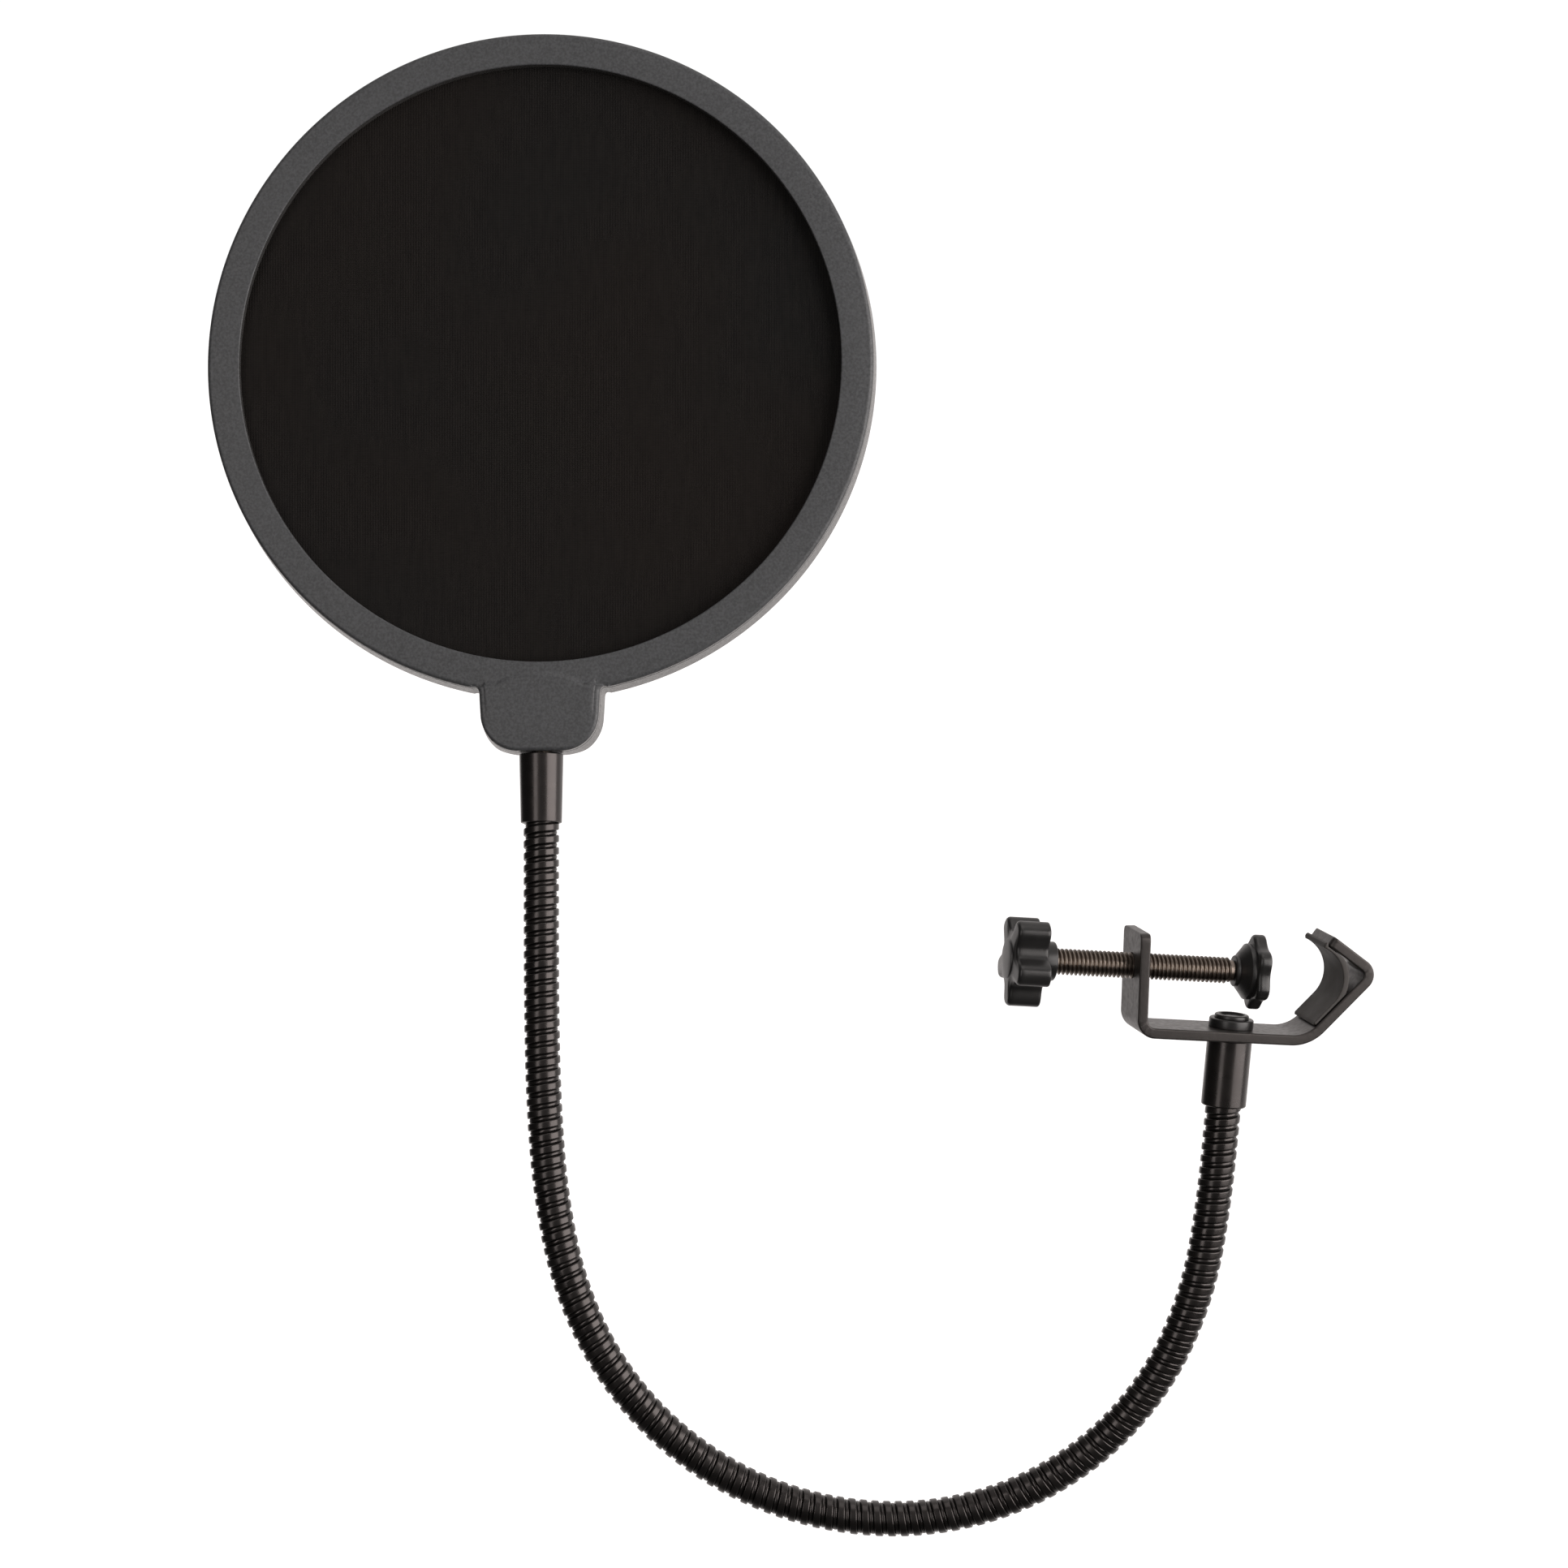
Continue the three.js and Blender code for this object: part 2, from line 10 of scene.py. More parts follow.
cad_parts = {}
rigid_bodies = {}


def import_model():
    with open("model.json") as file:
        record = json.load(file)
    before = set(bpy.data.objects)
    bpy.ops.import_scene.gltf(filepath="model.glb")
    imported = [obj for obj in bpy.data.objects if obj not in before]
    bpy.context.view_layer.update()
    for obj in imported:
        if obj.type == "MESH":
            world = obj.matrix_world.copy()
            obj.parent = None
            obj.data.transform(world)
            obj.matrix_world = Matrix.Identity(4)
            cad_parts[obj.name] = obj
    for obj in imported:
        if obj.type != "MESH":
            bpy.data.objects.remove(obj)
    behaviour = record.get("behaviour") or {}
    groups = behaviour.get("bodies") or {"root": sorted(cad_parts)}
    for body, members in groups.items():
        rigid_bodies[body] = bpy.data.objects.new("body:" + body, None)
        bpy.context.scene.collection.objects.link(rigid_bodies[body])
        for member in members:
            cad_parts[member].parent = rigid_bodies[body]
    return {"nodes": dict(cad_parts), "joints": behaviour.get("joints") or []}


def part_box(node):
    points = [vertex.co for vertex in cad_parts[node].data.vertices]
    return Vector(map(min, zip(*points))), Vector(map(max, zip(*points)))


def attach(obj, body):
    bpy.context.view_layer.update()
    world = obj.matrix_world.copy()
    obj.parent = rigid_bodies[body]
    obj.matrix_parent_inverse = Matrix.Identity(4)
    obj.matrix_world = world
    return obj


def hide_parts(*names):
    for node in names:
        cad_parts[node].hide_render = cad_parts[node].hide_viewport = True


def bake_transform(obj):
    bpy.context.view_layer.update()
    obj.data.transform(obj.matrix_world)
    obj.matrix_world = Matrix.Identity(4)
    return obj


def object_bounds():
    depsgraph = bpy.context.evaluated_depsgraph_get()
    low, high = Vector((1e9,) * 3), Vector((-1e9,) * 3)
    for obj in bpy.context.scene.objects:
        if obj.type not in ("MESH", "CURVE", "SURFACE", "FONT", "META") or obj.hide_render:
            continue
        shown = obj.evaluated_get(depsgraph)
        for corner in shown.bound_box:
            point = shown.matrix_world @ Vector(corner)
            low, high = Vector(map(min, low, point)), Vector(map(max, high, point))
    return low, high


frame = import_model()
cad_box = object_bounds()

MM = 0.001
TAU = 2 * math.pi
joint_named = {joint["name"]: joint for joint in frame["joints"]}

# ---------------------------------------------------------------- sizes, in millimetres

STRIP = {"thick": 2.4, "width": 15.0, "corner": 1.6, "tip_corner": 1.2, "edge": 0.4}
STRIP_PATH = [(-39.6, 8.4), (-38.35, -14.25), (1.0, -14.25), (15.3, 2.1), (4.3, 9.1)]
STRIP_BENDS = [0, 3.2, 9.0, 2.6, 0]
TUBE_RADIUS = 7.9
LINER = {"back": 9.3, "foot_run": 6.6, "tip_angle": 72, "lip_from": 67.5, "clear": 0.3, "edge": 0.35}
SCREW = {"left": -67.0, "shoulder": -16.4, "core": 2.4, "crest": 3.0, "pitch": 1.0,
         "neck": 1.8, "ball": 2.5}
BALL_X = -14.0
KNOB = {"right": -61.5, "length": 7.6, "mean": 8.6, "wave": 2.0, "lobes": 5, "first": 57, "flat": 1.5}
COLLAR = {"radius": 4.45, "length": 2.9}
PAD = {"face": -9.3, "rim": 3.0, "mean": 7.95, "wave": 0.65, "lobes": 6, "flat": 0.6, "hub_left": -16.1}
PAD_HUB = {"radius": 3.6,
           "cone": [(3.6, 0.8), (3.75, 0.9), (4.2, 1.0), (6.1, 2.6), (6.35, 2.75), (6.4, 2.9)]}
FERRULE = {"low_radius": 5.15, "low_length": 15.5, "up_length": 16.0, "up_top": 5.1, "up_bottom": 4.75,
           "bore": 2.8, "socket": 10}
BOLT = {"head_radius": 3.95, "head": 0.9, "radius": 2.5}
WASHER = {"radius": 5.1, "thick": 2.1, "bore": 2.7}
SCREW_HOLE = 3.0
BOLT_HOLE = 2.75
GAP = 0.3

NECK = {"radius": 4.1, "groove": 3.68, "coil": 2.83, "in_socket": 9.4}

RING = {"outer": 77.5, "widening": 0.6, "inner": 70.0, "front": -5.3, "back": 5.3, "wall": 1.9}
SEAM = -3.0
LIP = 2.3
FABRIC = {"radius": 75.2, "middle": 1.75, "thick": 0.4}
TAB = {"bottom": -90.7, "half_top": 14.0, "half_bottom": 5.0, "shoulder": -82.0, "neck": -75.6,
       "flare": 15.9}
PLATEAU = {"proud": 0.8, "top": -72.1, "arc": 18.7, "half": 10.0}
TAB_SCREW = {"x": 8.6, "z": -79.5, "head": 2.3, "radius": 1.25, "length": 9.0}
STUD_ROOM = {"shank": 2.8, "flange": 4.3, "flange_from": 5.7, "flange_to": 7.9}
KNIT_PITCH = 0.38

# ---------------------------------------------------------------- places, from the frame


def placement(origin, x_axis, z_axis):
    """Local millimetres to the row frame's metres."""
    z = Vector(z_axis).normalized()
    x = Vector(x_axis)
    x = (x - z * x.dot(z)).normalized()
    y = z.cross(x)
    turn = np.array([x, y, z]).T
    start = np.array(origin)

    def place(points):
        return np.asarray(points, float) @ turn.T * MM + start

    return place


def middle_of(node):
    low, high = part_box(node)
    return (low + high) / 2


ROW = placement((0, 0, 0), (1, 0, 0), (0, 0, 1))
ALONG_SCREW = placement((0, 0, 0), (0, 1, 0), (1, 0, 0))

swivel = joint_named["clamp_swivel"]
neck_foot = Vector((swivel["pos_m"][0], swivel["pos_m"][1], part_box("lower_ferrule")[0].z))
NECK_BASE = placement(neck_foot, (1, 0, 0), (0, 0, -1))

head_swivel = joint_named["ring_swivel"]
head_up = Vector(head_swivel["axis"]).normalized()
tab_foot = Vector(head_swivel["pos_m"])
head_back = middle_of("rear_mesh") - middle_of("front_mesh")
head_right = head_back.cross(head_up).normalized()
neck_tip = tab_foot - head_up * (FERRULE["up_length"] + GAP) * MM
NECK_TIP = placement(neck_tip, head_right, head_up)
HEAD = placement(tab_foot - head_up * TAB["bottom"] * MM, head_right, head_up)

# ---------------------------------------------------------------- mesh tools


def soften(points, radius, steps=5, closed=False):
    """A line with its corners rounded; radius is one number, or one for each point."""
    pts = [np.array(p, float) for p in points]
    radii = radius if hasattr(radius, "__len__") else [radius] * len(pts)
    out = []
    count = len(pts)
    for i, corner in enumerate(pts):
        if (not closed and i in (0, count - 1)) or radii[i] <= 0:
            out.append(corner)
            continue
        back = pts[i - 1] - corner
        ahead = pts[(i + 1) % count] - corner
        len_back, len_ahead = np.linalg.norm(back), np.linalg.norm(ahead)
        back, ahead = back / len_back, ahead / len_ahead
        half = math.acos(max(-1, min(1, float(back @ ahead)))) / 2
        if half > math.radians(89):
            out.append(corner)
            continue
        reach = min(radii[i] / math.tan(half), 0.49 * len_back, 0.49 * len_ahead)
        bow = reach * math.tan(half)
        mid = (back + ahead) / np.linalg.norm(back + ahead)
        centre = corner + mid * bow / math.sin(half)
        first = corner + back * reach - centre
        last = corner + ahead * reach - centre
        sweep = math.pi - 2 * half
        for k in range(steps + 1):
            part = k / steps
            weight_a = math.sin((1 - part) * sweep) / math.sin(sweep)
            weight_b = math.sin(part * sweep) / math.sin(sweep)
            out.append(centre + first * weight_a + last * weight_b)
    return np.array(out)


def skin(rows, cols, close_rows=False):
    """Quads over a grid of points whose columns close on themselves."""
    row = np.arange(rows if close_rows else rows - 1)[:, None] * cols
    next_row = (row + cols) % (rows * cols)
    col = np.arange(cols)[None, :]
    next_col = (col + 1) % cols
    quads = np.stack([row + col, row + next_col, next_row + next_col, next_row + col], axis=-1)
    return quads.reshape(-1, 4).tolist()


def loft(loops, caps=True, close_rows=False):
    """Vertices and faces of a skin over loops that have the same number of points."""
    grid = np.asarray(loops, float)
    rows, cols = grid.shape[:2]
    faces = skin(rows, cols, close_rows)
    if caps and not close_rows:
        faces.append(list(range(cols)))
        faces.append(list(range((rows - 1) * cols, rows * cols)))
    return grid.reshape(-1, 3), faces


def revolve(profile, steps=96):
    """A profile of (radius, height) points about local Z; its ends lie on the axis or meet."""
    angles = np.arange(steps) / steps * TAU
    ring = np.stack([np.cos(angles), np.sin(angles)], axis=1)
    loops = [np.column_stack([ring * radius, np.full(steps, height)]) for radius, height in profile]
    on_axis = profile[0][0] < 1e-6 and profile[-1][0] < 1e-6
    return loft(loops, caps=False, close_rows=not on_axis)


def joined(*parts):
    """One solid's vertices and faces from several closed parts."""
    verts, faces, start = [], [], 0
    for points, polygons in parts:
        verts.append(points)
        faces += [[i + start for i in polygon] for polygon in polygons]
        start += len(points)
    return np.vstack(verts), faces


def mesh_object(name, solid, place):
    """A Blender object from vertices and faces in local millimetres, placed in the frame."""
    verts, faces = solid
    mesh = bpy.data.meshes.new(name)
    mesh.from_pydata(place(verts).tolist(), [], faces)
    work = bmesh.new()
    work.from_mesh(mesh)
    bmesh.ops.remove_doubles(work, verts=work.verts, dist=2e-7)
    bmesh.ops.dissolve_degenerate(work, edges=work.edges, dist=1e-7)
    bmesh.ops.recalc_face_normals(work, faces=work.faces)
    work.to_mesh(mesh)
    work.free()
    obj = bpy.data.objects.new(name, mesh)
    bpy.context.scene.collection.objects.link(obj)
    return obj


def cut(obj, *cutters):
    """Takes cutters away from a piece."""
    for cutter in cutters:
        bite = obj.modifiers.new("cut", "BOOLEAN")
        bite.operation = "DIFFERENCE"
        bite.solver = "EXACT"
        bite.object = cutter
    bpy.context.view_layer.update()
    whole = obj.evaluated_get(bpy.context.evaluated_depsgraph_get())
    mesh = bpy.data.meshes.new_from_object(whole)
    obj.modifiers.clear()
    old = obj.data
    obj.data = mesh
    bpy.data.meshes.remove(old)
    for cutter in cutters:
        bpy.data.objects.remove(cutter)


def finish_piece(obj, material, body, replaced, crease=35):
    """Material and shading of a piece, the body it rides on and the nodes it stands for."""
    mesh = obj.data
    mesh.materials.clear()
    mesh.materials.append(material)
    mesh.shade_smooth()
    mesh.set_sharp_from_angle(angle=math.radians(crease))
    even = obj.modifiers.new("even shading", "WEIGHTED_NORMAL")
    even.keep_sharp = True
    if body:
        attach(obj, body)
    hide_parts(*replaced)
    return obj


def circle(radius, height, count, turn=0.0):
    angles = np.arange(count) / count * TAU + turn
    return np.column_stack([radius * np.cos(angles), radius * np.sin(angles), np.full(count, height)])


def lobed(shape, inset, height, count, turn):
    """A lobed outline, moved inwards along its own normals."""
    angles = np.arange(count) / count * TAU
    swing = np.tanh(shape["flat"] * np.cos(shape["lobes"] * angles)) / math.tanh(shape["flat"])
    radius = shape["mean"] + shape["wave"] * swing
    line = np.column_stack([radius * np.cos(angles + turn), radius * np.sin(angles + turn)])
    along = np.roll(line, -1, axis=0) - np.roll(line, 1, axis=0)
    along /= np.linalg.norm(along, axis=1)[:, None]
    inward = np.column_stack([-along[:, 1], along[:, 0]])
    return np.column_stack([line + inward * inset, np.full(count, height)])


def quarter(radius, steps):
    """Pairs (inset, rise) of a rounded edge, from the side wall to the flat face."""
    for k in range(steps + 1):
        angle = math.pi / 2 * k / steps
        yield radius * (1 - math.cos(angle)), radius * math.sin(angle)


# ---------------------------------------------------------------- materials


class Nodes:
    """A material's node tree, with short calls for its usual nodes."""

    def __init__(self, name):
        self.material = bpy.data.materials.new(name)
        self.material.use_nodes = True
        self.tree = self.material.node_tree
        self.shader = self.tree.nodes["Principled BSDF"]
        coordinates = self.tree.nodes.new("ShaderNodeTexCoord")
        self.place = coordinates.outputs["Object"]
        self.facing = coordinates.outputs["Normal"]

    def add(self, kind, inputs=None, **settings):
        node = self.tree.nodes.new(kind)
        for key, value in settings.items():
            setattr(node, key, value)
        for key, value in (inputs or {}).items():
            self.put(value, node.inputs[key])
        return node

    def put(self, value, socket):
        if isinstance(value, bpy.types.NodeSocket):
            self.tree.links.new(value, socket)
        else:
            socket.default_value = value

    def noise(self, scale, detail, place=None):
        inputs = {"Vector": place or self.place, "Scale": scale, "Detail": detail}
        return self.add("ShaderNodeTexNoise", inputs).outputs["Fac"]

    def math(self, operation, first, second=0.0):
        node = self.add("ShaderNodeMath", operation=operation)
        for value, socket in zip((first, second), node.inputs):
            self.put(value, socket)
        return node.outputs[0]

    def dot(self, vector, way):
        """The share of a vector that lies along a fixed direction."""
        node = self.add("ShaderNodeVectorMath", {0: vector, 1: tuple(way)}, operation="DOT_PRODUCT")
        return node.outputs["Value"]

    def remap(self, value, low, high, to_low, to_high):
        inputs = {"Value": value, "From Min": low, "From Max": high, "To Min": to_low, "To Max": to_high}
        return self.add("ShaderNodeMapRange", inputs).outputs[0]

    def mix(self, factor, first, second):
        node = self.add("ShaderNodeMix", data_type="RGBA")
        self.put(factor, node.inputs["Factor"])
        colours = [socket for socket in node.inputs if socket.type == "RGBA"]
        self.put(first, colours[0])
        self.put(second, colours[1])
        return next(socket for socket in node.outputs if socket.type == "RGBA")

    def bump(self, height, depth, strength):
        inputs = {"Height": height, "Distance": depth, "Strength": strength}
        return self.add("ShaderNodeBump", inputs).outputs["Normal"]

    def surface(self, **inputs):
        for key, value in inputs.items():
            self.put(value, self.shader.inputs[key.replace("_", " ")])
        return self.material


def grey(level, warmth=0.0):
    """A linear grey; warmth shifts it from blue towards red."""
    return (level * (1 + warmth), level, level * (1 - warmth), 1.0)


def ring_plastic():
    """Black moulding: a spark-eroded grain on the faces, and smoother side walls."""
    n = Nodes("ring_plastic")
    facing = n.dot(n.facing, head_back.normalized())
    wall = n.remap(n.math("ABSOLUTE", facing), 0.55, 0.2, 0.0, 1.0)
    grain = n.noise(1300, 3.0)
    cloud = n.noise(45, 2.0)
    speck = n.noise(1800, 2.0)
    tone = n.mix(cloud, grey(0.037, -0.06), grey(0.053, -0.05))
    tone = n.mix(n.remap(speck, 0.35, 0.65, 0.0, 0.8), tone, grey(0.08, -0.05))
    tone = n.mix(wall, tone, grey(0.05, 0.02))
    rough = n.math("SUBTRACT", n.remap(grain, 0.3, 0.7, 0.42, 0.58), n.math("MULTIPLY", wall, 0.24))
    return n.surface(Base_Color=tone, Roughness=rough, Normal=n.bump(grain, 0.00007, 0.7))


def moulded_plastic():
    """Smoother black moulding of the knob, the pad, the washer, the bolt's head and the mesh spacer."""
    n = Nodes("moulded_plastic")
    cloud = n.noise(160, 3.0)
    grain = n.noise(1900, 3.0)
    tone = n.mix(cloud, grey(0.009), grey(0.016, 0.02))
    rough = n.remap(cloud, 0.3, 0.7, 0.27, 0.38)
    return n.surface(Base_Color=tone, Roughness=rough, Normal=n.bump(grain, 0.00003, 0.3))


def black_steel():
    """Powder-coated bent strip: a low orange-peel texture, rubbed paler on its edges."""
    n = Nodes("black_steel")
    peel = n.noise(900, 2.0)
    cloud = n.noise(120, 3.0)
    edge = n.add("ShaderNodeNewGeometry").outputs["Pointiness"]
    worn = n.remap(edge, 0.52, 0.6, 0.0, 0.55)
    tone = n.mix(cloud, grey(0.009, 0.05), grey(0.015, 0.07))
    tone = n.mix(worn, tone, grey(0.055, 0.06))
    rough = n.remap(peel, 0.3, 0.7, 0.3, 0.42)
    return n.surface(Base_Color=tone, Roughness=rough, Normal=n.bump(peel, 0.00006, 0.35),
                     Specular_Tint=(1.0, 0.93, 0.9, 1))


def liner_rubber():
    """Matt dark rubber of the hook's liner."""
    n = Nodes("liner_rubber")
    grain = n.noise(1400, 4.0)
    cloud = n.noise(200, 2.0)
    tone = n.mix(cloud, grey(0.035, 0.08), grey(0.052, 0.08))
    rough = n.remap(cloud, 0.3, 0.7, 0.62, 0.78)
    return n.surface(Base_Color=tone, Roughness=rough, Normal=n.bump(grain, 0.00005, 0.5))


def gloss_black(name, low, high, warmth):
    """Black coated steel of the ferrules and of the gooseneck's wires."""
    n = Nodes(name)
    cloud = n.noise(220, 3.0)
    fine = n.noise(2400, 2.0)
    tone = n.mix(cloud, grey(0.003, warmth), grey(0.007, warmth))
    rough = n.remap(cloud, 0.3, 0.7, low, high)
    return n.surface(Base_Color=tone, Roughness=rough, Normal=n.bump(fine, 0.000006, 0.15),
                     Specular_Tint=(1.0, 0.9, 0.87, 1), Coat_Weight=0.2, Coat_Roughness=0.16)


def screw_steel():
    """Dark oiled steel thread with a brown cast, and a painted highlight along its thread crests."""
    n = Nodes("screw_steel")
    cloud = n.noise(700, 3.0)
    fine = n.noise(5000, 2.0)
    edge = n.add("ShaderNodeNewGeometry").outputs["Pointiness"]
    # painted highlight: the pointy thread crests get a pale metal colour that stands in for light catching
    # them
    crest = n.remap(edge, 0.5, 0.62, 0.0, 1.0)
    tone = n.mix(cloud, (0.038, 0.029, 0.022, 1), (0.075, 0.06, 0.047, 1))
    tone = n.mix(crest, tone, (0.34, 0.29, 0.25, 1))
    rough = n.remap(cloud, 0.3, 0.7, 0.28, 0.45)
    return n.surface(Base_Color=tone, Roughness=rough, Metallic=1.0, Normal=n.bump(fine, 0.00001, 0.4))


def nylon_knit():
    """Stretched black knit: fine upright wales crossed by courses."""
    n = Nodes("nylon_mesh")
    pitch = KNIT_PITCH * MM
    drift = n.remap(n.noise(14, 1.0), 0.3, 0.7, -0.0003, 0.0003)
    across = n.math("ADD", n.dot(n.place, head_right), drift)
    along = n.dot(n.place, head_up)
    wale = n.math("SINE", n.math("MULTIPLY", across, TAU / pitch))
    course = n.math("SINE", n.math("MULTIPLY", along, TAU / (pitch * 0.8)))
    stretched = n.add("ShaderNodeCombineXYZ", {"X": across, "Y": n.math("MULTIPLY", along, 0.14)})
    streak = n.noise(900, 2.0, stretched.outputs[0])
    cloth = n.math("ADD", wale, n.math("MULTIPLY", course, 0.45))
    tone = n.mix(n.remap(cloth, -1.2, 1.2, 0.0, 1.0), grey(0.0015, 0.0), grey(0.015, 0.03))
    tone = n.mix(n.remap(streak, 0.35, 0.65, 0.0, 0.4), tone, grey(0.015, 0.08))
    warm = n.remap(n.noise(14, 1.0), 0.35, 0.65, 0.0, 0.3)
    tone = n.mix(warm, tone, (0.016, 0.0105, 0.0075, 1))
    return n.surface(Base_Color=tone, Roughness=0.85, Specular_IOR_Level=0.12,
                     Normal=n.bump(cloth, 0.00008, 0.6), Sheen_Weight=0.02, Sheen_Roughness=0.5)


def black_fastener():
    """Blackened steel of the tab screws."""
    n = Nodes("black_fastener")
    cloud = n.noise(500, 3.0)
    tone = n.mix(cloud, grey(0.015), grey(0.03, 0.04))
    rough = n.remap(cloud, 0.3, 0.7, 0.3, 0.46)
    return n.surface(Base_Color=tone, Roughness=rough, Metallic=0.5, Normal=n.bump(cloud, 0.00002, 0.3))


ring_finish = ring_plastic()
knit_finish = nylon_knit()
moulded_finish = moulded_plastic()
strip_finish = black_steel()
rubber_finish = liner_rubber()
ferrule_finish = gloss_black("ferrule_black", 0.24, 0.34, 0.05)
wire_finish = gloss_black("gooseneck_black", 0.22, 0.34, 0.05)
screw_finish = screw_steel()
fastener_finish = black_fastener()

# ---------------------------------------------------------------- camera

VIEW = {"azimuth": -12.0, "elevation": 6.5, "roll": 4.8, "distance": 1.1, "field": 18.56}
AIM = Vector((-0.11805, 0.0294, 0.03328))


def add_camera():
    """The photograph's angle: a turn round the part, a little above it, with the frame rolled."""
    azimuth, elevation = math.radians(VIEW["azimuth"]), math.radians(VIEW["elevation"])
    out = Vector((math.sin(azimuth) * math.cos(elevation),
                  -math.cos(azimuth) * math.cos(elevation), math.sin(elevation)))
    right = Vector((math.cos(azimuth), math.sin(azimuth), 0))
    up = out.cross(right)
    roll = math.radians(VIEW["roll"])
    right, up = right * math.cos(roll) + up * math.sin(roll), up * math.cos(roll) - right * math.sin(roll)
    data = bpy.data.cameras.new("camera")
    data.sensor_width = 36
    data.lens = 18 / math.tan(math.radians(VIEW["field"]) / 2)
    data.clip_end = 60
    camera = bpy.data.objects.new("camera", data)
    bpy.context.scene.collection.objects.link(camera)
    camera.matrix_world = Matrix.Translation(AIM + out * VIEW["distance"]) @ Matrix(
        (right, up, out)).transposed().to_4x4()
    bpy.context.scene.camera = camera


add_camera()

# ---------------------------------------------------------------- clamp


def strip_section(width, thick, edge):
    """A rectangle across the strip, with its corners rounded."""
    half_w, half_t = width / 2, thick / 2
    box = [(-half_w, -half_t), (half_w, -half_t), (half_w, half_t), (-half_w, half_t)]
    return soften(box, min(edge, half_t * 0.98, half_w * 0.98), 4, closed=True)


def end_width(distance, corner):
    """How far a rounded corner has eaten into the strip at a distance from its end."""
    if distance >= corner:
        return 0.0
    return corner - math.sqrt(max(corner ** 2 - (corner - distance) ** 2, 0))


def round_hole(radius, low, high, place):
    """A cutter between two heights on a placement's own axis."""
    return mesh_object("hole", revolve([(0, low), (radius, low), (radius, high), (0, high)], 64), place)


def make_bracket():
    """One bent strip: the arm, the bottom run and the hook, with holes for the screw and the bolt."""
    line = soften(STRIP_PATH, STRIP_BENDS, 14)
    steps = np.linalg.norm(np.diff(line, axis=0), axis=1)
    reach = np.concatenate([[0], np.cumsum(steps)])
    total = reach[-1]
    near = [0, 0.03, 0.1, 0.2, 0.32, 0.5, 0.75, 1.1, 1.5, 2.0, 2.6]
    stations = sorted(set(near + [total - d for d in near] + list(reach[1:-1])
                          + list(np.arange(4, total - 3, 1.5))))
    loops = []
    for s in stations:
        point = np.array([np.interp(s, reach, line[:, k]) for k in (0, 1)])
        ahead = np.array([np.interp(min(s + 0.05, total), reach, line[:, k]) for k in (0, 1)])
        behind = np.array([np.interp(max(s - 0.05, 0), reach, line[:, k]) for k in (0, 1)])
        along = (ahead - behind) / np.linalg.norm(ahead - behind)
        across = np.array([-along[1], along[0]])
        to_end = min(s, total - s)
        corner = STRIP["corner"] if s < total / 2 else STRIP["tip_corner"]
        soft = STRIP["edge"] - math.sqrt(max(STRIP["edge"] ** 2 - max(STRIP["edge"] - to_end, 0) ** 2, 0))
        width = STRIP["width"] - 2 * end_width(to_end, corner) - 2 * soft
        section = strip_section(width, STRIP["thick"] - 2 * soft, STRIP["edge"])
        loops.append([(point[0] + across[0] * t, w, point[1] + across[1] * t) for w, t in section])
    obj = mesh_object("clamp_bracket", loft(loops), ROW)
    arm = STRIP_PATH[0][0]
    under = neck_foot.z / MM + FERRULE["low_length"]
    on_bolt = placement((neck_foot.x, 0, 0), (1, 0, 0), (0, 0, 1))
    screw_hole = round_hole(SCREW_HOLE, arm - 4, arm + 4, ALONG_SCREW)
    cut(obj, screw_hole, round_hole(BOLT_HOLE, under - 2, under + 5, on_bolt))
    return finish_piece(obj, strip_finish, "clamp", ["bracket"])


def facing_line(facing, distance, along):
    """A point at a distance from the tube's middle, then along the line square to that way."""
    return np.array([math.cos(facing) * distance - math.sin(facing) * along,
                     math.sin(facing) * distance + math.cos(facing) * along])


def make_liner():
    """A crescent round the tube: flat on the hook's two straight runs, with a thin lip at its tip."""
    foot_at, corner_at, tip_at = (np.array(p) for p in STRIP_PATH[2:])
    foot_way, head_way = corner_at - foot_at, tip_at - corner_at
    foot = math.atan2(foot_way[1], foot_way[0]) - math.pi / 2
    head = math.atan2(head_way[1], head_way[0]) - math.pi / 2
    clear = STRIP["thick"] / 2 + LINER["clear"]
    foot_wall = corner_at @ facing_line(foot, 1, 0) - clear
    head_wall = corner_at @ facing_line(head, 1, 0) - clear
    tip, edge = math.radians(LINER["tip_angle"]), LINER["edge"]
    lip_from = math.radians(LINER["lip_from"])
    spans = [(facing_line(foot, TUBE_RADIUS, -run), facing_line(foot, foot_wall, -run))
             for run in np.linspace(LINER["foot_run"], 0.4, 14)]
    for angle in np.linspace(foot, tip, 52):
        back = LINER["back"]
        for facing, wall in ((foot, foot_wall), (head, head_wall)):
            if abs(angle - facing) < 1 and angle < lip_from:
                back = min(back, wall / math.cos(angle - facing))
        way = np.array([math.cos(angle), math.sin(angle)])
        spans.append((way * TUBE_RADIUS, way * back))
    reach = np.cumsum([0] + [np.linalg.norm(b[0] - a[0]) for a, b in zip(spans, spans[1:])])
    loops = []
    for (inner, outer), at in zip(spans, reach):
        room = min(at, reach[-1] - at)
        soft = edge - math.sqrt(max(edge ** 2 - max(edge - room, 0) ** 2, 0))
        thick = np.linalg.norm(outer - inner)
        out = (outer - inner) / thick
        thin = min(soft, 0.45 * thick)
        rest = thick - 2 * thin
        section = strip_section(STRIP["width"] - 2 * soft, rest, min(edge, 0.4 * rest))
        middle = (inner + outer) / 2
        loops.append([(middle[0] + out[0] * t, w, middle[1] + out[1] * t) for w, t in section])
    obj = mesh_object("hook_liner_soft", loft(loops), ROW)
    return finish_piece(obj, rubber_finish, "clamp", ["hook_liner"])


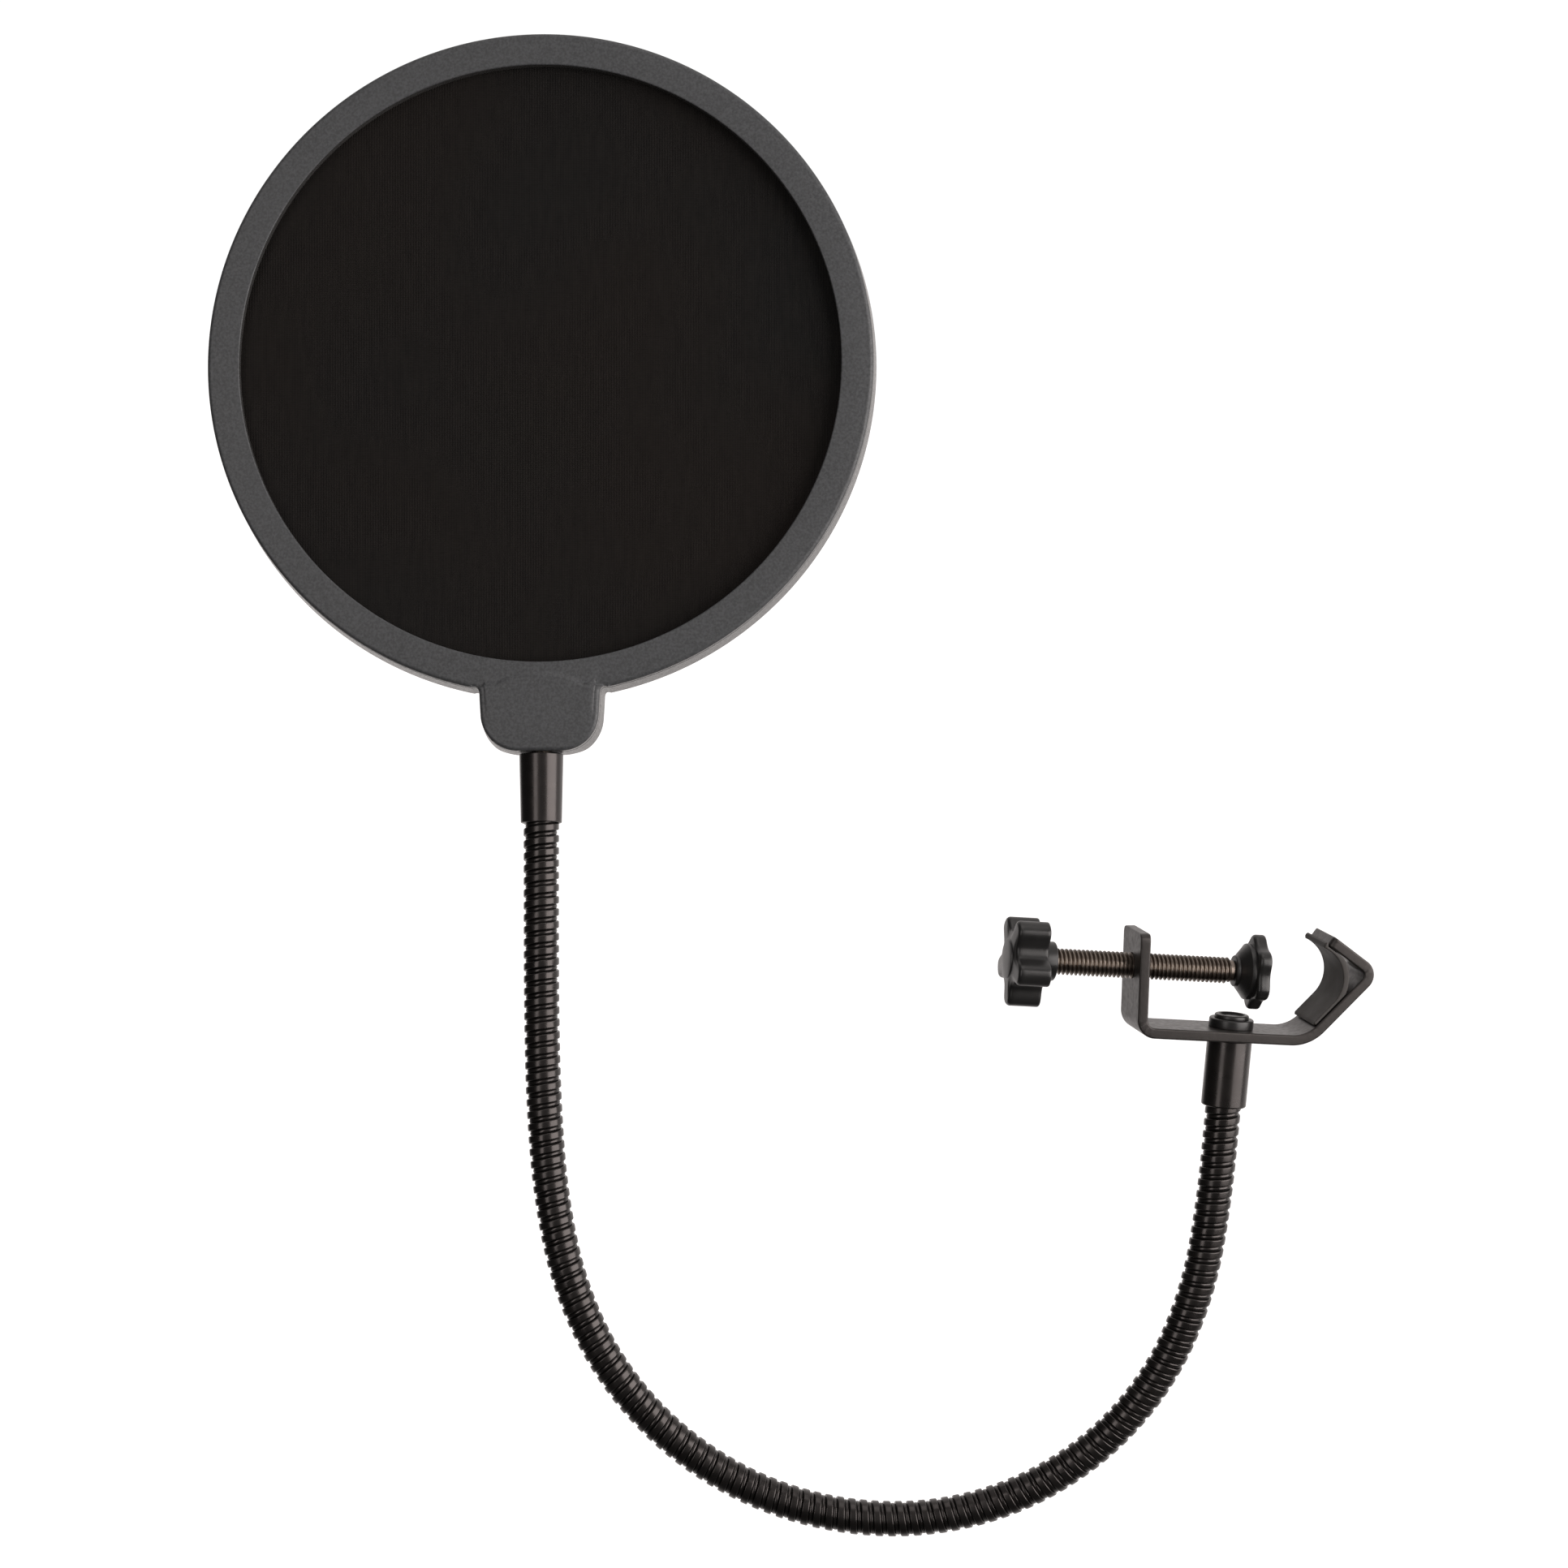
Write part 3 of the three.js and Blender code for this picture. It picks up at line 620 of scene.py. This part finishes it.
def helix(start, end, pitch, section, steps, runout):
    """A closed section of (axial, radius) points, wound right-handed and thinned at its ends."""
    count = max(int(round((end - start) / pitch * steps)), 2)
    loops = []
    for i in range(count + 1):
        at = start + (end - start) * i / count
        angle = at / pitch * TAU
        room = min(at - start, end - at)
        scale = min(1.0, 0.15 + room / runout)
        low = min(radius for _, radius in section)
        scaled = [(at + axial, low + (radius - low) * scale) for axial, radius in section]
        loops.append([(r * math.cos(angle), r * math.sin(angle), height) for height, r in scaled])
    return loft(loops)


def make_screw():
    """The threaded rod, with the ball end that sits in the pad."""
    core, crest = SCREW["core"], SCREW["crest"]
    ball = [(SCREW["ball"] * math.cos(a), BALL_X + SCREW["ball"] * math.sin(a))
            for a in np.linspace(-math.acos(SCREW["neck"] / SCREW["ball"]), math.pi / 2, 12)]
    ball[-1] = (0, BALL_X + SCREW["ball"])
    profile = [(0, SCREW["left"]), (core, SCREW["left"]), (core, SCREW["shoulder"]),
               (SCREW["neck"], SCREW["shoulder"])] + ball
    thread = [(-0.45, core - 0.1), (-0.39, core + 0.03), (-0.1, crest - 0.05), (-0.05, crest),
              (0.05, crest), (0.1, crest - 0.05), (0.39, core + 0.03), (0.45, core - 0.1)]
    solid = joined(revolve(profile, 64),
                   helix(SCREW["left"] + 1, SCREW["shoulder"] - 0.6, SCREW["pitch"], thread, 48, 0.7))
    obj = mesh_object("clamp_screw_thread", solid, ALONG_SCREW)
    return finish_piece(obj, screw_finish, "screw", ["clamp_screw"], crease=40)


def make_knob():
    """The lobed knob with its raised cap and its collar, hollow for the screw's end."""
    count = 300
    turn = math.radians(-KNOB["first"] + 180)
    left, right = KNOB["right"] - KNOB["length"], KNOB["right"]
    cap = circle(4.7, left - 0.3, count, turn)
    brim = lobed(KNOB, 0.9, left, count, turn)
    loops = [circle(r, left - rise, count, turn)
             for r, rise in ((0.4, 0.74), (2.5, 0.72), (4.1, 0.64), (4.4, 0.56), (4.5, 0.36))]
    loops += [cap + (brim - cap) * part for part in (0, 0.08, 0.35, 0.65, 0.9)]
    for inset, rise in list(quarter(0.9, 7))[::-1]:
        loops.append(lobed(KNOB, inset, left + 0.9 - rise, count, turn))
    loops += [lobed(KNOB, 0, x, count, turn) for x in np.linspace(left + 1.6, right - 0.9, 4)]
    loops += [lobed(KNOB, inset, right - 0.5 + rise, count, turn) for inset, rise in quarter(0.5, 5)]
    collar, end = COLLAR["radius"], right + COLLAR["length"]
    loops += [circle(collar + 0.9, right, count, turn), circle(collar + 0.15, right, count, turn),
              circle(collar, right + 0.15, count, turn)]
    loops += [circle(collar - inset, end - 0.35 + rise, count, turn) for inset, rise in quarter(0.35, 4)]
    loops += [circle(3.1, end, count, turn), circle(3.05, end - 0.1, count, turn),
              circle(3.05, SCREW["left"] - GAP, count, turn)]
    obj = mesh_object("star_knob", loft(loops), ALONG_SCREW)
    return finish_piece(obj, moulded_finish, "screw", ["clamp_knob"])


def make_pad():
    """The lobed pad on its cone, hollow for the screw's ball."""
    count, turn = 240, math.radians(30)
    face, back, left = PAD["face"], PAD["face"] - PAD["rim"], PAD["hub_left"]
    neck, socket = SCREW["neck"] + GAP, SCREW["ball"] + GAP
    loops = [circle(socket * math.cos(a), BALL_X + socket * math.sin(a), count)
             for a in np.radians(np.linspace(88, -40, 12))]
    loops += [circle(neck, BALL_X - 1.8, count), circle(neck, left + 0.2, count),
              circle(neck + 0.2, left, count)]
    for inset, rise in list(quarter(0.35, 4))[::-1]:
        loops.append(circle(PAD_HUB["radius"] - inset, left + 0.35 - rise, count))
    loops += [circle(radius, left + height, count) for radius, height in PAD_HUB["cone"]]
    loops += [circle(6.4, back - 0.1, count), circle(6.5, back, count)]
    for inset, rise in list(quarter(0.9, 6))[::-1]:
        loops.append(lobed(PAD, inset, back + 0.9 - rise, count, turn))
    loops += [lobed(PAD, 0, x, count, turn) for x in (back + 1.2, face - 1.2)]
    loops += [lobed(PAD, inset, face - 0.6 + rise, count, turn) for inset, rise in quarter(0.6, 5)]
    loops += [lobed(PAD, 1.6, face, count, turn), circle(3.0, face, count)]
    obj = mesh_object("swivel_pad", loft(loops), ALONG_SCREW)
    return finish_piece(obj, moulded_finish, "pad", ["pressure_pad"])


make_bracket()
make_liner()
make_screw()
make_knob()
make_pad()

# ---------------------------------------------------------------- ferrules, bolt and washer


def make_lower_ferrule():
    radius, top = FERRULE["low_radius"], -FERRULE["low_length"]
    bore, deep = FERRULE["bore"], -FERRULE["socket"]
    socket = NECK["radius"] + 0.2
    outline = [(bore, top), (radius, top), (radius, 0), (socket, 0), (socket, deep), (bore, deep)]
    profile = soften(outline, [0.1, 0.3, 0.5, 0.1, 0.1, 0.1], 5, closed=True)
    obj = mesh_object("lower_ferrule_turned", revolve(profile, 128), NECK_BASE)
    return finish_piece(obj, ferrule_finish, "neck_base", ["lower_ferrule"])


def make_upper_ferrule():
    length, top, bottom = FERRULE["up_length"], FERRULE["up_top"], FERRULE["up_bottom"]
    bore, deep = FERRULE["bore"], FERRULE["socket"]
    socket = NECK["radius"] + 0.15
    outline = [(socket, 0), (bottom, 0), (top, length), (bore, length), (bore, deep), (socket, deep)]
    profile = soften(outline, [0.1, 0.4, 0.25, 0.1, 0.1, 0.1], 5, closed=True)
    obj = mesh_object("upper_ferrule_turned", revolve(profile, 128), NECK_TIP)
    return finish_piece(obj, ferrule_finish, "neck_end", ["upper_ferrule"])


def make_washer():
    seat = -FERRULE["low_length"] - GAP - STRIP["thick"] - 0.02
    top = seat - WASHER["thick"]
    radius, bore = WASHER["radius"], WASHER["bore"]
    outline = [(bore, top), (radius, top), (radius, seat), (bore, seat)]
    profile = soften(outline, [0.1, 0.35, 0.12, 0.1], 5, closed=True)
    obj = mesh_object("bolt_washer", revolve(profile, 128), NECK_BASE)
    return finish_piece(obj, moulded_finish, "neck_base", ["clamp_washer"])


def make_bolt():
    """The bolt that holds the ferrule to the strip, with a cupped head."""
    seat = -FERRULE["low_length"] - GAP - STRIP["thick"] - WASHER["thick"] - 0.04
    top = seat - BOLT["head"]
    radius = BOLT["head_radius"]
    shank, end = BOLT["radius"], -10.7
    outline = [(0, top + 0.35), (1.6, top + 0.45), (2.7, top + 0.55), (3.0, top), (radius, top),
               (radius, seat), (shank, seat), (shank, end), (0, end)]
    profile = soften(outline, [0, 0.3, 0.3, 0.2, 0.4, 0.1, 0.1, 0.3, 0], 5)
    obj = mesh_object("bolt_cupped_head", revolve(profile, 128), NECK_BASE)
    return finish_piece(obj, moulded_finish, "neck_base", ["clamp_bolt"])


make_lower_ferrule()
make_upper_ferrule()
make_washer()
make_bolt()

# ---------------------------------------------------------------- gooseneck


def neck_chain():
    """The neck's joints from the clamp to the head, and the body beyond each."""
    body, points, bodies = "neck_base", [], ["neck_base"]
    while body != "neck_end":
        joint = next(j for j in frame["joints"] if j["parent"] == body)
        points.append(Vector(joint["pos_m"]))
        body = joint["child"]
        bodies.append(body)
    return points, bodies


class Path:
    """The neck's middle line with a frame that does not twist, by distance in millimetres."""

    def __init__(self, points, extra):
        corners = [np.array(p) / MM for p in points]
        middles = [(a + b) / 2 for a, b in zip(corners, corners[1:])]
        first_way = (corners[1] - corners[0]) / np.linalg.norm(corners[1] - corners[0])
        last_way = (corners[-1] - corners[-2]) / np.linalg.norm(corners[-1] - corners[-2])
        line = [corners[0] - first_way * extra * k / 10 for k in range(10, 0, -1)]
        line += [corners[0] + (middles[0] - corners[0]) * k / 12 for k in range(12)]
        marks = []
        for start, corner, end in zip(middles, corners[1:-1], middles[1:]):
            marks.append(len(line))
            for k in range(60):
                t = k / 60
                line.append(start * (1 - t) ** 2 + corner * 2 * t * (1 - t) + end * t * t)
        marks.append(len(line))
        line += [middles[-1] + (corners[-1] - middles[-1]) * k / 12 for k in range(12)]
        line += [corners[-1] + last_way * extra * k / 10 for k in range(11)]
        self.line = np.array(line)
        self.reach = np.concatenate([[0], np.cumsum(np.linalg.norm(np.diff(self.line, axis=0), axis=1))])
        self.marks = [self.reach[i] for i in marks]
        self.total = self.reach[-1]
        ways = np.gradient(self.line, axis=0)
        self.way = ways / np.linalg.norm(ways, axis=1)[:, None]
        side = np.array([0.0, 1.0, 0.0])
        sides = []
        for way in self.way:
            side = side - way * (side @ way)
            side /= np.linalg.norm(side)
            sides.append(side)
        self.side = np.array(sides)

    def at(self, reach):
        """Points of the line and two directions square to it, at distances from its start."""
        def between(table):
            return np.column_stack([np.interp(reach, self.reach, table[:, k]) for k in range(3)])
        way, side = between(self.way), between(self.side)
        way /= np.linalg.norm(way, axis=1)[:, None]
        side -= way * np.sum(side * way, axis=1)[:, None]
        side /= np.linalg.norm(side, axis=1)[:, None]
        return between(self.line), side, np.cross(way, side)


def wound_wire(path, start, end, section, phase):
    """A wire of closed section, wound right-handed round the neck's middle line."""
    pitch, steps = NECK["coil"], 40
    count = max(int(round((end - start) / pitch * steps)), 2)
    reach = np.linspace(start, end, count + 1)
    angle = reach / pitch * TAU + phase
    axial = np.array([a for a, _ in section])
    radius = np.array([r for _, r in section])
    place = np.clip(reach[:, None] + axial[None, :], 0, path.total).ravel()
    middle, side, other = path.at(place)
    turn = np.repeat(angle, len(section))
    out = np.tile(radius, count + 1)
    points = middle + out[:, None] * (np.cos(turn)[:, None] * side + np.sin(turn)[:, None] * other)
    return loft(points.reshape(count + 1, len(section), 3))


def make_gooseneck():
    """Two wires wound side by side, parted at the middle of each link and blended over each joint."""
    points, bodies = neck_chain()
    path = Path([neck_foot] + points + [neck_tip], NECK["in_socket"])
    top, groove = NECK["radius"], NECK["groove"]
    outline = [(-0.86, groove - 0.25), (-0.84, top), (0.84, top), (0.86, groove - 0.25), (0.3, 2.45),
               (-0.3, 2.45)]
    wedge = soften(outline, [0.12, 0.3, 0.3, 0.12, 0.12, 0.12], 4, closed=True)
    wire = 0.78
    spring = [(wire * math.cos(a), groove - wire + wire * math.sin(a)) for a in np.arange(12) / 12 * TAU]
    marks = [0.3] + path.marks + [path.total - 0.3]
    last = len(marks) - 2
    for number, (start, end) in enumerate(zip(marks, marks[1:])):
        solid = joined(wound_wire(path, start, end, wedge, 0.0),
                       wound_wire(path, start, end, spring, math.pi))
        obj = mesh_object(f"gooseneck_wires_{number + 1:02d}", solid, ROW)
        replaced = [f"gooseneck_segment_{max(number, 1):02d}"]
        whole = {0: bodies[0], last: bodies[-1]}.get(number)
        finish_piece(obj, wire_finish, whole, replaced, crease=50)
        if not whole:
            from_point, _, _ = path.at(np.array([start]))
            to_point, _, _ = path.at(np.array([end]))
            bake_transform(obj)


make_gooseneck()

# ---------------------------------------------------------------- filter head


def bezier(points, count):
    """Points of a cubic curve, without its last one."""
    t = np.arange(count)[:, None] / count
    a, b, c, d = (np.array(p, float) for p in points)
    return a * (1 - t) ** 3 + 3 * b * t * (1 - t) ** 2 + 3 * c * t * t * (1 - t) + d * t ** 3


def head_outline():
    """The ring's outline with its tab, anticlockwise, and the opening's angle for each point."""
    side, flat, low, shoulder = TAB["half_top"], TAB["half_bottom"], TAB["bottom"], TAB["shoulder"]
    flare = math.asin(TAB["flare"] / RING["outer"])
    start = -math.pi / 2 + flare
    angles = np.linspace(start, start + TAU - 2 * flare, 700)
    ring = RING["outer"] * np.column_stack([np.cos(angles), np.sin(angles)])
    leave = np.array([-TAB["flare"], -RING["outer"] * math.cos(flare)])
    neck = TAB["neck"]
    down = bezier([leave, (-side - 0.6, leave[1] + 0.45), (-side, neck - 0.6),
                   (-side + 0.05, neck - 2)], 20)
    left = bezier([(-side + 0.05, neck - 2), (-side + 0.1, shoulder + 3), (-side + 0.2, shoulder + 1.5),
                   (-side + 0.3, shoulder)], 8)
    corner = bezier([(-side + 0.3, shoulder), (-side + 0.4, low + 3.9), (-flat - 4.9, low),
                     (-flat, low)], 44)
    foot = np.column_stack([np.linspace(-flat, flat, 20, endpoint=False), np.full(20, low)])
    half = np.vstack([down, left, corner])
    mirrored = np.vstack([half[1:], [[-flat, low]]])[::-1] * np.array([-1, 1])
    tab = np.vstack([half, foot, mirrored])
    line = np.vstack([ring[:-1], tab])
    lengths = np.linalg.norm(np.diff(np.vstack([tab, ring[:1]]), axis=0), axis=1)
    run = np.concatenate([[0], np.cumsum(lengths)])
    tab_angles = angles[-1] + 2 * flare * run[:-1] / run[-1]
    return line, np.concatenate([angles[:-1], tab_angles])


head_line, head_angle = head_outline()
head_along = np.roll(head_line, -1, axis=0) - np.roll(head_line, 1, axis=0)
head_along /= np.linalg.norm(head_along, axis=1)[:, None]
head_inward = np.column_stack([-head_along[:, 1], head_along[:, 0]])


def step(value):
    """A smooth rise from 0 to 1."""
    t = np.clip(value, 0, 1)
    return t * t * (3 - 2 * t)


def head_loop(inset, depth):
    """The outline moved inwards, at a depth; it widens behind the seam, less so at the tab's foot."""
    wider = RING["widening"] * max(0, (depth - SEAM) / (RING["back"] - SEAM))
    on_foot = step((TAB["bottom"] + 4 - head_line[:, 1]) / 3) * step((11 - np.abs(head_line[:, 0])) / 4)
    points = head_line + head_inward * (inset - wider * (1 - 0.7 * on_foot))[:, None]
    return np.column_stack([points[:, 0], np.full(len(points), depth), points[:, 1]])


def opening_loop(radius, depth):
    """A circle about the ring's middle, with a point for each point of the outline."""
    level = np.full(len(head_angle), depth)
    return np.column_stack([radius * np.cos(head_angle), level, radius * np.sin(head_angle)])


def plateau_rise(points):
    """How far the tab's raised front stands out, over points of the head."""
    x, z = points[:, 0], points[:, 2]
    reach = np.minimum(np.abs(x), PLATEAU["half"])
    arc = PLATEAU["top"] - PLATEAU["arc"] + np.sqrt(PLATEAU["arc"] ** 2 - reach ** 2)
    soft = 1.5 - 0.8 * step((np.abs(x) - 4) / 7)
    past = step((np.abs(x) - PLATEAU["half"] - 2.4) / 1.2) * 0.5
    return PLATEAU["proud"] * step((arc - past - z) / soft + 0.15)


def face_loops(sign, face, edge, count):
    """Loops over one face of a shell, from its rounded outer edge to the opening's edge."""
    edge_steps, dip = 7, 0.3
    loops = [head_loop(inset, face + sign * (edge - rise)) for inset, rise in quarter(edge, edge_steps)]
    outer = loops.pop()
    inner = opening_loop(RING["inner"] + 0.35, face)
    span = np.linalg.norm(inner - outer, axis=1)
    for k in range(count + 1):
        part = k / count
        loop = outer * (1 - part) + inner * part
        fall = np.clip(1 - part * span / 5.5, 0, 1)
        loop[:, 1] = face + sign * dip * fall ** 2
        loops.append(loop)
    for inset, rise in list(quarter(0.35, 4))[::-1][1:]:
        loops.append(opening_loop(RING["inner"] + inset, face + sign * (0.35 - rise)))
    for k, loop in enumerate(loops[:edge_steps]):
        loop[:, 1] += sign * dip * (k / edge_steps)
    return loops


def inside_loops(sign, face, lip, seam):
    """Loops down the opening's wall, round the lip and through the channel to the seam."""
    inner, outer, wall = RING["inner"], RING["outer"], RING["wall"]
    plate = face + sign * wall
    walls = [(inner, lip - sign * 0.2), (inner + 0.2, lip), (inner + wall - 0.1, lip),
             (inner + wall, lip - sign * 0.1), (inner + wall, plate), (outer - wall, plate),
             (outer - wall, seam)]
    return [opening_loop(radius, depth) for radius, depth in walls]


def drill(x, z, radius, y0, y1):
    """A cutter along the head's depth."""
    place = placement(HEAD([[x, 0, z]])[0], head_right, -head_back.normalized())
    return mesh_object("hole", revolve([(0, -y1), (radius, -y1), (radius, -y0), (0, -y0)], 48), place)


def stud_room():
    """A cutter for the swivel stud's shank and flange."""
    place = placement(tab_foot, head_right, head_up)
    shank, flange = STUD_ROOM["shank"], STUD_ROOM["flange"]
    low, high = STUD_ROOM["flange_from"], STUD_ROOM["flange_to"]
    profile = [(0, -1), (shank, -1), (shank, low), (flange, low), (flange, high), (0, high)]
    return mesh_object("hole", revolve(profile, 48), place)


def make_front_shell():
    """The front moulding, with the plateau raised on its half of the tab."""
    loops = face_loops(1, RING["front"], 1.25, 26)
    for loop in loops:
        loop[:, 1] -= plateau_rise(loop)
    side = head_loop(0, SEAM - 0.12)
    foot = head_loop(0.12, SEAM)
    loops = [foot, side] + loops + inside_loops(1, RING["front"], -LIP, SEAM)
    verts, faces = loft(loops, caps=False, close_rows=True)
    obj = mesh_object("front_ring_moulding", (verts, faces), HEAD)
    cut(obj, stud_room(), *[drill(s * TAB_SCREW["x"], TAB_SCREW["z"], 1.4, -5, 0) for s in (-1, 1)])
    return finish_piece(obj, ring_finish, "head", ["front_ring_shell"])


def make_rear_shell():
    """The rear moulding, with the wells of the two tab screws."""
    seam = SEAM + GAP
    loops = [head_loop(0.12, seam), head_loop(0, seam + 0.12)]
    loops += face_loops(-1, RING["back"], 1.0, 6) + inside_loops(-1, RING["back"], LIP, seam)
    verts, faces = loft(loops, caps=False, close_rows=True)
    obj = mesh_object("rear_ring_moulding", (verts, faces), HEAD)
    holes = [drill(s * TAB_SCREW["x"], TAB_SCREW["z"], 1.5, seam - 1, 7) for s in (-1, 1)]
    wells = [drill(s * TAB_SCREW["x"], TAB_SCREW["z"], 2.65, RING["back"] - 2.1, 7) for s in (-1, 1)]
    cut(obj, stud_room(), *holes, *wells)
    return finish_piece(obj, ring_finish, "head", ["rear_ring_shell"])


def make_fabric(name, node, side):
    """One stretched knit disc: flat, with a skin on each side of its thickness."""
    count, rings = 128, 24
    radius, thick = FABRIC["radius"], FABRIC["thick"]
    middle = side * FABRIC["middle"]
    loops = []
    for face in (-1, 1):
        rows = []
        for k in range(rings + 1):
            part = k / rings
            level = middle + face * thick / 2
            ring_loop = circle(max(radius * part, 0.02), 0, count)
            rows.append(np.column_stack([ring_loop[:, 0], np.full(count, level), ring_loop[:, 1]]))
        loops += rows if face < 0 else rows[::-1]
    obj = mesh_object(name, loft(loops), HEAD)
    finish_piece(obj, knit_finish, "head", [node])


def make_tab_screw(number, side):
    """A small self-tapping screw with a cross in its head."""
    head_top = RING["back"] - 0.2
    radius, shank = TAB_SCREW["head"], TAB_SCREW["radius"]
    tip = head_top - TAB_SCREW["length"]
    outline = [(0, tip), (shank * 0.35, tip), (shank - 0.3, tip + 1.4), (shank - 0.3, head_top - 1.6),
               (radius, head_top - 1.6), (radius, head_top - 0.5), (radius - 0.9, head_top), (0, head_top)]
    profile = soften(outline, [0, 0.1, 0.1, 0.05, 0.15, 0.5, 0.9, 0], 5)
    thread = [(-0.3, shank - 0.36), (-0.04, shank), (0.04, shank), (0.3, shank - 0.36)]
    solid = joined(revolve(profile, 64), helix(tip + 1.2, head_top - 2.6, 0.9, thread, 32, 0.8))
    middle = HEAD([[side * TAB_SCREW["x"], 0, TAB_SCREW["z"]]])[0]
    place = placement(middle, head_right, head_back.normalized())
    obj = mesh_object(f"tab_screw_{number}_cross", solid, place)
    blades = []
    for long_way in (0, 1):
        size = np.array([(2.5, 0.55), (0.55, 2.5)][long_way]) / 2
        base = np.array([(-1, -1), (1, -1), (1, 1), (-1, 1)]) * size
        loops = [np.column_stack([base * scale, np.full(4, level)])
                 for scale, level in ((0.55, head_top - 1.1), (1.0, head_top + 0.3))]
        blades.append(mesh_object("hole", loft(loops), place))
    cut(obj, *blades)
    return finish_piece(obj, fastener_finish, "head", [f"tab_screw_{number}"])


make_front_shell()
make_rear_shell()
make_fabric("front_knit", "front_mesh", -1)
make_fabric("rear_knit", "rear_mesh", 1)
make_tab_screw(1, -1)
make_tab_screw(2, 1)

# These two are inside the head and keep their CAD solids.
for hidden_node, finish in (("mesh_spacer", moulded_finish), ("swivel_stud", screw_finish)):
    cad = frame["nodes"][hidden_node]
    cad.data.materials.clear()
    cad.data.materials.append(finish)

# ---------------------------------------------------------------- studio


WARM_WHITE = (1.0, 0.945, 0.925)
ROOM = {"front": 0.3, "below": 0.05, "left": 0.05, "back": 0.9}


def add_floor():
    """A pale floor well below the hanging part; it lights nothing and shows in no gloss."""
    half = 30
    mesh = bpy.data.meshes.new("floor")
    corners = [(-half, -half, 0), (half, -half, 0), (half, half, 0), (-half, half, 0)]
    mesh.from_pydata(corners, [], [(0, 1, 2, 3)])
    floor = bpy.data.objects.new("floor", mesh)
    floor.matrix_world = Matrix.Translation((0, 0, cad_box[0].z - 0.55))
    bpy.context.scene.collection.objects.link(floor)
    n = Nodes("white_floor")
    floor.data.materials.append(n.surface(
        Base_Color=(0.9, 0.9, 0.9, 1), Roughness=0.9, Emission_Color=(1, 1, 1, 1), Emission_Strength=0.75))
    floor.visible_glossy = False
    floor.visible_diffuse = False


def add_light(name, azimuth, elevation, distance, width, height, power):
    """A soft box that faces the part."""
    data = bpy.data.lights.new(name, "AREA")
    data.shape = "RECTANGLE"
    data.size, data.size_y = width, height
    data.energy = power
    data.color = WARM_WHITE
    light = bpy.data.objects.new(name, data)
    a, e = math.radians(azimuth), math.radians(elevation)
    out = Vector((math.sin(a) * math.cos(e), -math.cos(a) * math.cos(e), math.sin(e)))
    turn = out.to_track_quat("Z", "Y").to_matrix().to_4x4()
    light.matrix_world = Matrix.Translation(AIM + out * distance) @ turn
    bpy.context.scene.collection.objects.link(light)


def add_world():
    """A room that is pale behind the part and dim in front of it, and dark below that and at the left."""
    world = bpy.data.worlds.new("studio")
    world.use_nodes = True
    tree = world.node_tree
    background = tree.nodes["Background"]
    way = tree.nodes.new("ShaderNodeTexCoord").outputs["Generated"]

    def share(axis, low, high):
        """How far a ray goes one way, as a smooth step between two shares."""
        dot = tree.nodes.new("ShaderNodeVectorMath")
        dot.operation = "DOT_PRODUCT"
        dot.inputs[1].default_value = axis
        tree.links.new(way, dot.inputs[0])
        part = tree.nodes.new("ShaderNodeMapRange")
        part.interpolation_type = "SMOOTHSTEP"
        part.inputs["From Min"].default_value = low
        part.inputs["From Max"].default_value = high
        tree.links.new(dot.outputs["Value"], part.inputs["Value"])
        return part.outputs[0]

    def blended(factor, first, second):
        """A number between two others."""
        node = tree.nodes.new("ShaderNodeMix")
        for value, socket in zip((factor, first, second), node.inputs[:1] + node.inputs[2:4]):
            if isinstance(value, bpy.types.NodeSocket):
                tree.links.new(value, socket)
            else:
                socket.default_value = value
        return node.outputs[0]

    azimuth = math.radians(VIEW["azimuth"])
    behind = (-math.sin(azimuth), math.cos(azimuth), 0)
    left = (-math.cos(azimuth), -math.sin(azimuth), 0)
    front = blended(share((0, 0, 1), -0.35, 0.25), ROOM["below"], ROOM["front"])
    room = blended(share(behind, -0.3, 0.8), front, ROOM["back"])
    room = blended(share(left, 0.45, 0.85), room, ROOM["left"])
    path = tree.nodes.new("ShaderNodeLightPath").outputs["Is Camera Ray"]
    tree.links.new(blended(path, room, 1.05), background.inputs["Strength"])
    tint = tree.nodes.new("ShaderNodeMix")
    tint.data_type = "RGBA"
    tree.links.new(path, tint.inputs["Factor"])
    warm, white = (socket for socket in tint.inputs if socket.type == "RGBA")
    warm.default_value, white.default_value = (*WARM_WHITE, 1), (1, 1, 1, 1)
    colour = next(socket for socket in tint.outputs if socket.type == "RGBA")
    tree.links.new(colour, background.inputs["Color"])
    bpy.context.scene.world = world


add_floor()
add_light("key_right", azimuth=50, elevation=12, distance=1.05, width=1.15, height=1.0, power=15)
add_light("strip_left", azimuth=-43, elevation=8, distance=1.6, width=0.55, height=1.5, power=6)
add_light("top", azimuth=-10, elevation=78, distance=1.8, width=1.2, height=1.2, power=5)
add_world()
bpy.context.scene.view_settings.view_transform = "Standard"
